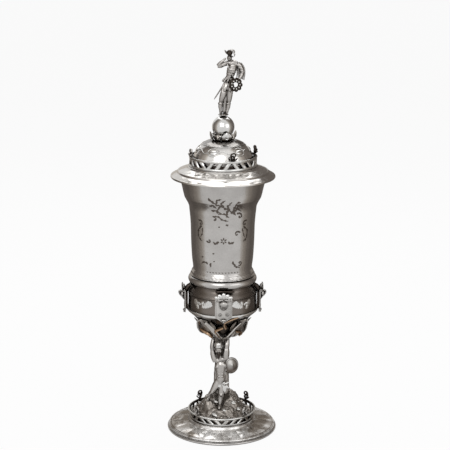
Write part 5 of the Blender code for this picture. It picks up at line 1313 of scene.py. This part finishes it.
# Legs, feet, the support behind them, hips, trunk, shoulders, neck and arms as (x, y, z, radius) keys
HERO_LIMBS = (
    ((-2.7, 0.2, 0.6, 1.5), (-3, 0, 3.5, 1.5), (-3.2, -0.1, 7.5, 2.1), (-2.8, -0.6, 11.5, 1.75),
     (-2.3, -0.8, 13.5, 2.3), (-0.9, -0.7, 18, 3.1), (0.9, -0.4, 23, 3.5), (2.8, 0, 28, 3.7)),
    ((3.5, -0.5, 0.6, 1.5), (4.3, -0.3, 3.5, 1.5), (5.1, -0.1, 7.2, 2.1), (5.6, -0.1, 11, 1.75),
     (5.9, 0, 13, 2.3), (6.2, 0, 18, 3.1), (6.5, 0, 24, 3.5), (6.5, 0, 28.5, 3.7)),
    ((-2.6, 1, 0.8, 1.1), (-3, -1.4, 0.9, 1.15), (-3.4, -3.4, 0.7, 0.8)),
    ((3.4, 0.6, 0.8, 1.1), (3.7, -1.8, 0.9, 1.15), (4, -3.8, 0.7, 0.8)),
    ((0.6, 1.6, 0.4, 2), (1.2, 1.9, 7, 2.3), (1.8, 1.7, 14, 2.6), (2.4, 1.4, 21, 2.6)),
    ((5, 0, 25, 4.8), (5.2, 0, 30.5, 4.8), (5.8, 0, 35.5, 3.5), (6.2, 0, 38, 3.4)),
    ((6, 0, 37, 3.6), (7.2, -0.2, 41, 4.5), (8.3, -0.3, 45.5, 4.9), (9, 0, 49, 4.4), (8.9, 0.2, 51, 3.4)),
    ((4.9, 0, 51.6, 2.7), (9.2, 0.4, 51.8, 3.2), (13.7, 0, 50.8, 2.7)),
    ((8.2, 0, 51, 2.3), (7.2, -0.1, 53.4, 1.8), (6.6, -0.2, 55, 1.9)),
    ((4.4, 0, 52, 2.5), (1.6, -0.6, 51, 2.5), (-1, -1.2, 49.8, 2.3), (-4, -1.8, 48.9, 2.3),
     (-5.9, -2, 48.9, 1.8)),
    ((-5.8, -2, 48.9, 1.9), (-4.2, -2.4, 51, 1.9), (-2.4, -3, 53, 1.5), (0.2, -3.3, 55, 1.2)),
    ((14, 0, 51, 2.7), (16.4, 0.2, 48.6, 2.7), (18.4, 0.3, 45.2, 2.3), (19.2, 0.4, 42, 2)),
    ((19.2, 0.4, 42, 2.1), (18.2, -1.2, 39.4, 2), (16.6, -2.4, 36.8, 1.6), (14.6, -3, 35, 1.4)),
)
HERO_HEAD = Vector((5.9, -0.4, 57.2))


def build_hero():
    """The costumed figure: body, boots, breeches with a skirt of tabs, hands and head."""
    body = bmesh.new()
    ball(body, (0, 0, PLINTH_BASE + 0.9), (5.4, 5.2, 1.15), segments=24)
    for keys in HERO_LIMBS:
        hero_limb(body, keys)
    for x in (-3.1, 5):
        hero_limb(body, [(x, -0.1, 9.3, 2.35), (x + 0.1, -0.1, 10.3, 2.6), (x + 0.2, -0.1, 11, 2.3)], 14)
    # Puffs and tabs round the hips: middle, reach to the side and to the front, height, radius
    puff = ((5, 3, 3, 31.5, 1.8), (4.9, 4.8, 4.6, 27.5, 1.9), (4.6, 6, 5.4, 23.4, 1.3))
    tab = ((5.9, 2.8, 2.4, 37, 1.3), (4.9, 4.9, 4.4, 34.4, 1.1), (4.6, 5.5, 5, 32.8, 0.7))
    for count, start, rows, sides in ((7, 20, puff, 10), (9, 0, tab, 8)):
        for k in range(count):
            a = radians(start + 360 / count * k)
            keys = [(x + wide * sin(a), -deep * cos(a), z, r) for x, wide, deep, z, r in rows]
            hero_limb(body, keys, sides)
    hero_ball(body, (1.2, -3.5, 56), (1.3, 1.1, 1.5), (0, 40, 0))
    hero_ball(body, (13.9, -3.2, 34.2), (1.5, 1.2, 1.3))

    def feature(x, y, z, radii, turn=(0, 0, 0)):
        hero_ball(body, HERO_HEAD + Vector((x, y, z)), radii, turn)

    feature(0, 0, 0, (2.6, 3, 3.3), (0, 14, 0))
    feature(-0.3, -1.5, -1, (1.9, 1.5, 2), (0, 14, 0))
    feature(-0.4, -3.1, -0.5, (0.42, 0.6, 0.85), (-12, 0, 0))
    for side in (-1, 1):
        feature(-0.3 + 0.95 * side, -2.65, 0.55, (0.9, 0.4, 0.3))
        feature(-0.4 + 1.1 * side, -2.2, -1, (0.7, 0.6, 0.6))
    knee, waist, chest = [hero_key(0, 0, z, 0)[2] for z in (22, 35, 50)]

    def folds(p):
        if knee < p.z < waist:
            return 0.28 * sin(11 * atan2(p.x - 5, -p.y) + 0.2 * p.z)
        if waist < p.z < chest:
            return 0.14 * sin(2.4 * p.z + 0.4 * p.x)
        return 0.05 * noise.noise(p * 0.9)

    mesh = roughened(melt("fine_finial_figure", body, 0.3, 3), folds)
    piece("fine_finial_figure", mesh, CAST, "cover", ["finial_figure"], 80)


def build_dress():
    """Hat with its plume, cape, sash and collar."""
    brim = [(0, -0.6), (3.6, -0.5), (5.4, -0.2), (5.9, 0.1), (5.3, 0.5), (3.4, 0.6), (3.1, 1.4), (2.9, 3.2)]

    def upturned(a, r, z):
        return r, z + (0.9 * sin(a) ** 2 if r > 4 else 0)

    hat = bmesh.new()
    place = Matrix.Translation(hero_key(4.7, 0, 60.4, 0)[:3]) @ spin(38, "Y")
    add_mesh(hat, lathe("hat", brim + [(2.2, 4.1), (0, 4.3)], 48, False, upturned), place)
    # The hat's near-black metal is painted shade.
    cast("finial_hat", hat, PAINTED_SHADE, "cover", angle=50)
    dress = bmesh.new()
    for k in range(5):
        plume = [(4.6 + 0.5 * k, 1.6, 62, 0.6), (7.2 + 0.5 * k, 1.5 - 0.3 * k, 64.6 - 0.35 * k, 0.85)]
        plume.append((10.2 + 0.25 * k, 1.4 - 0.5 * k, 64.4 - k, 0.7))
        plume.append((11.3 - 0.2 * k, 1.3 - 0.5 * k, 62.6 - 1.1 * k, 0.35))
        hero_limb(dress, plume, 8, 4)
    for k in range(6):
        x = 12.6 + 1.5 * k
        cape = [(x - 2.5, 2.6, 51.4, 0.75), (x + 0.6, 3.6, 46.5, 0.8), (x + 1.4, 3.4, 41, 0.75)]
        hero_limb(dress, cape + [(x + 1 + 0.4 * sin(k), 3, 36.8 - 0.6 * k, 0.55)], 8, 4)
    sash = [(3.8, -3.2, 51.2, 0.5), (6.4, -5, 45, 0.5), (9.6, -4.6, 38.6, 0.5), (11, -3.4, 35, 0.5)]
    hero_limb(dress, sash, 8)
    for k in range(12):
        x, y, z, _ = hero_key(7.3 + 2.6 * cos(tau * k / 12), 0.1 + 2.6 * sin(tau * k / 12), 53.6, 0)
        ball(dress, (x, y, z), (0.7, 0.7, 0.5), segments=8)
    cast("finial_dress", dress, POLISHED, "cover", angle=80)


def build_wreath():
    """Open wreath of curled leaves and berries at the figure's hip, and the sword at its other side."""
    wreath = bmesh.new()
    berries = bmesh.new()
    for k in range(9):
        a = tau * k / 9
        x, z = 5.2 * cos(a), 5.2 * sin(a)
        coil = []
        for j in range(11):
            b = a + 2.4 + 0.62 * j
            radius = 2.3 - 0.13 * j
            coil.append((x + radius * cos(b), 0.5 * sin(b), z + radius * sin(b), 0.85 - 0.025 * j))
        sweep(wreath, coil, 8)
        ball(berries, (0.8 * x, -1.6, 0.8 * z), 1, segments=8)
    sweep(wreath, [(4.3 * cos(tau * k / 40), 0.3, 4.3 * sin(tau * k / 40), 1.7) for k in range(41)])
    hang = Matrix.Translation(Vector(hero_key(12.2, -6, 30.4, 0)[:3]) * MM) @ spin(12)
    # The wreath's near-black metal is painted shade in its openwork.
    cast("fine_wreath", wreath, PAINTED_SHADE, "cover", ["finial_wreath"], 80, hang)
    cast("wreath_berries", berries, BRIGHT, "cover", angle=80, place=hang)
    sword = bmesh.new()
    hilt = Vector(hero_key(3.4, 3.6, 34, 0)[:3])
    tip = Vector(hero_key(-9.6, 4.6, 13.4, 0)[:3])
    edge = ((0, 0.9), (0.12, 0.9), (0.14, 0.85), (0.9, 0.62), (1, 0.2))
    sweep(sword, [(*hilt.lerp(tip, t), r) for t, r in edge])
    guard = hilt.lerp(tip, 0.1)
    sweep(sword, [(*(guard + Vector((s, 0, -0.5 * s))), 0.5) for s in (-2.4, -1.2, 0, 1.2, 2.4)], 8)
    ball(sword, hilt, 1, segments=12)
    cast("fine_sword", sword, CAST, "cover", ["finial_sword"], 60)


def dress_cad():
    """The metals of the CAD nodes that stay in view."""
    for name in ("stem_rod", "foot_washer", "foot_nut", "bowl_nut", "finial_rod", "finial_nut"):
        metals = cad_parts[name].data.materials
        metals.clear()
        metals.append(STEEL[0])


# Studio


def seen_white(tree):
    """A Light Path factor that is 1 for what the camera, metal and glass see directly."""
    path = add_node(tree, "LightPath", {}).outputs
    rays = {0: path["Is Camera Ray"], 1: path["Is Glossy Ray"]}
    first = add_node(tree, "Math", rays, operation="MAXIMUM").outputs[0]
    rays = {0: first, 1: path["Is Transmission Ray"]}
    return add_node(tree, "Math", rays, operation="MAXIMUM").outputs[0]


def bare(name):
    """A material with an empty output, and its node tree."""
    material = bpy.data.materials.new(name)
    material.use_nodes = True
    tree = material.node_tree
    tree.nodes.remove(tree.nodes["Principled BSDF"])
    return material, tree


def show(tree, shader):
    """Links a shader to the output of a tree."""
    tree.links.new(shader.outputs[0], tree.nodes["Material Output"].inputs["Surface"])


def build_floor():
    """White surroundings and a pale floor."""
    world = bpy.data.worlds.new("studio")
    bpy.context.scene.world = world
    world.use_nodes = True
    tree = world.node_tree
    greys = {"A": (0.62, 0.62, 0.62, 1), "B": (1, 1, 1, 1), "Factor": seen_white(tree)}
    sky = add_node(tree, "Mix", greys, data_type="RGBA").outputs["Result"]
    tree.links.new(sky, tree.nodes["Background"].inputs["Color"])

    mesh = bpy.data.meshes.new("floor")
    s = 6.0
    mesh.from_pydata([(-s, -s, 0), (s, -s, 0), (s, s, 0), (-s, s, 0)], [], [(0, 1, 2, 3)])
    paper, tree = bare("floor_paper")
    share = add_node(tree, "Math", {0: seen_white(tree), 1: 0.9}, operation="MULTIPLY").outputs[0]
    matt = add_node(tree, "BsdfDiffuse", {"Color": (0.82, 0.82, 0.82, 1)}).outputs[0]
    glow = add_node(tree, "Emission", {"Strength": 1}).outputs[0]
    show(tree, add_node(tree, "MixShader", {0: share, 1: matt, 2: glow}))
    mesh.materials.append(paper)
    floor = in_scene("floor", mesh)


def build_cards():
    """Grey cards that metal sees and the camera doesn't."""
    greys = []
    greyscale = ((0.62, 0.58, 0.53), (0.4, 0.36, 0.32), (0.24, 0.214, 0.192), (0.17, 0.15, 0.135))
    for k, tone in enumerate(greyscale):
        grey, tree = bare(f"side_card_{k}")
        show(tree, add_node(tree, "Emission", {"Color": (*tone, 1)}))
        greys.append(grey)
    # Sections as (radius, height) ends, and the bearings where the cards are folded
    upright = ((240, 1), (240, 900))
    sloped = ((150, 10), (700, 135))
    above = ((240, 250), (240, 480))
    horizon = ((700, 135), (700, 410))
    ground = ((105, 0.6), (240, 0.8))
    near = (66, 76, 90, 108, 128)
    far = (128, 140, 152, 162, 172)
    behind = (128, 140, 152, 166, 180)
    cards = (
        ("ground_left", -1, ground, near, (2, 2, 2, 2)),
        ("ground_right", 1, ground, near, (2, 2, 2, 2)),
        ("left", -1, upright, near, (0, 1, 2, 3)),
        ("right", 1, upright, near, (0, 1, 2, 3)),
        ("back_left", -1, sloped, far, (3, 3, 3, 3)),
        ("back_right", 1, sloped, far, (3, 3, 3, 3)),
        ("above_right", 1, above, far, (3, 3, 3, 3)),
        ("horizon_left", -1, horizon, behind, (0, 0, 0, 0)),
        ("horizon_right", 1, horizon, behind, (1, 1, 1, 1)),
    )
    for name, side, section, folds, tones in cards:
        points = [polar(side * a, r, z) * MM for a in folds for r, z in section]
        faces = [(2 * k, 2 * k + 2, 2 * k + 3, 2 * k + 1) for k in range(len(tones))]
        mesh = bpy.data.meshes.new(f"side_card_{name}")
        mesh.from_pydata(points, [], faces)
        for grey in greys:
            mesh.materials.append(grey)
        for face, tone in zip(mesh.polygons, tones):
            face.material_index = tone
        obj = in_scene(f"side_card_{name}", mesh)
        obj.visible_camera = False
        obj.visible_diffuse = False
        obj.visible_shadow = False


def build_studio():
    """Surroundings, soft lamps and the camera. Lengths of this function are in metres."""
    scene = bpy.context.scene
    scene.view_settings.view_transform = "Standard"
    build_floor()
    build_cards()
    lamps = (
        ("key", (-0.35, -1.3, 1.05), 1, 7),
        ("top", (0, 0.55, 1.15), 0.9, 5),
        ("fill", (0.9, -0.9, 0.7), 0.8, 2),
    )
    middle = Vector((0, 0, 0.2))
    for name, place, size, power in lamps:
        data = bpy.data.lights.new(name, "AREA")
        data.size = size
        data.energy = power
        lamp = in_scene(name, data)
        lamp.location = place
        lamp.rotation_euler = (middle - Vector(place)).to_track_quat("-Z", "Y").to_euler()

    # The camera stands in front of the cup, looks down on it by the first angle and leans by the second
    down = 14.06
    lean = 0.32
    data = bpy.data.cameras.new("camera")
    data.sensor_width = 36
    data.lens = 120
    data.clip_end = 20
    camera = in_scene("camera", data)
    camera.location = (0.0023, -1.4902, 0.5917)
    camera.rotation_euler = (spin(90 - down, "X") @ spin(lean)).to_euler()
    scene.camera = camera


build_foot()
gallery("fine_foot_gallery", 31.7, 3.1, 9.4, SHELF_TOP, FOOT_CREST_TURN, "cup", "foot_gallery")
build_crests()
build_mound()
build_man()
build_hair()
build_cloth()
build_trunk()
build_basket()
build_bowl()
build_beaker()
build_engraving()
build_brackets()
build_cover()
gallery("fine_cover_gallery", 33.9, 0, 10.2, BRIM_TOP + 0.3, COVER_CREST_TURN, "cover", "cover_gallery")
build_calyx()
build_hero()
build_dress()
build_wreath()
dress_cad()
build_studio()
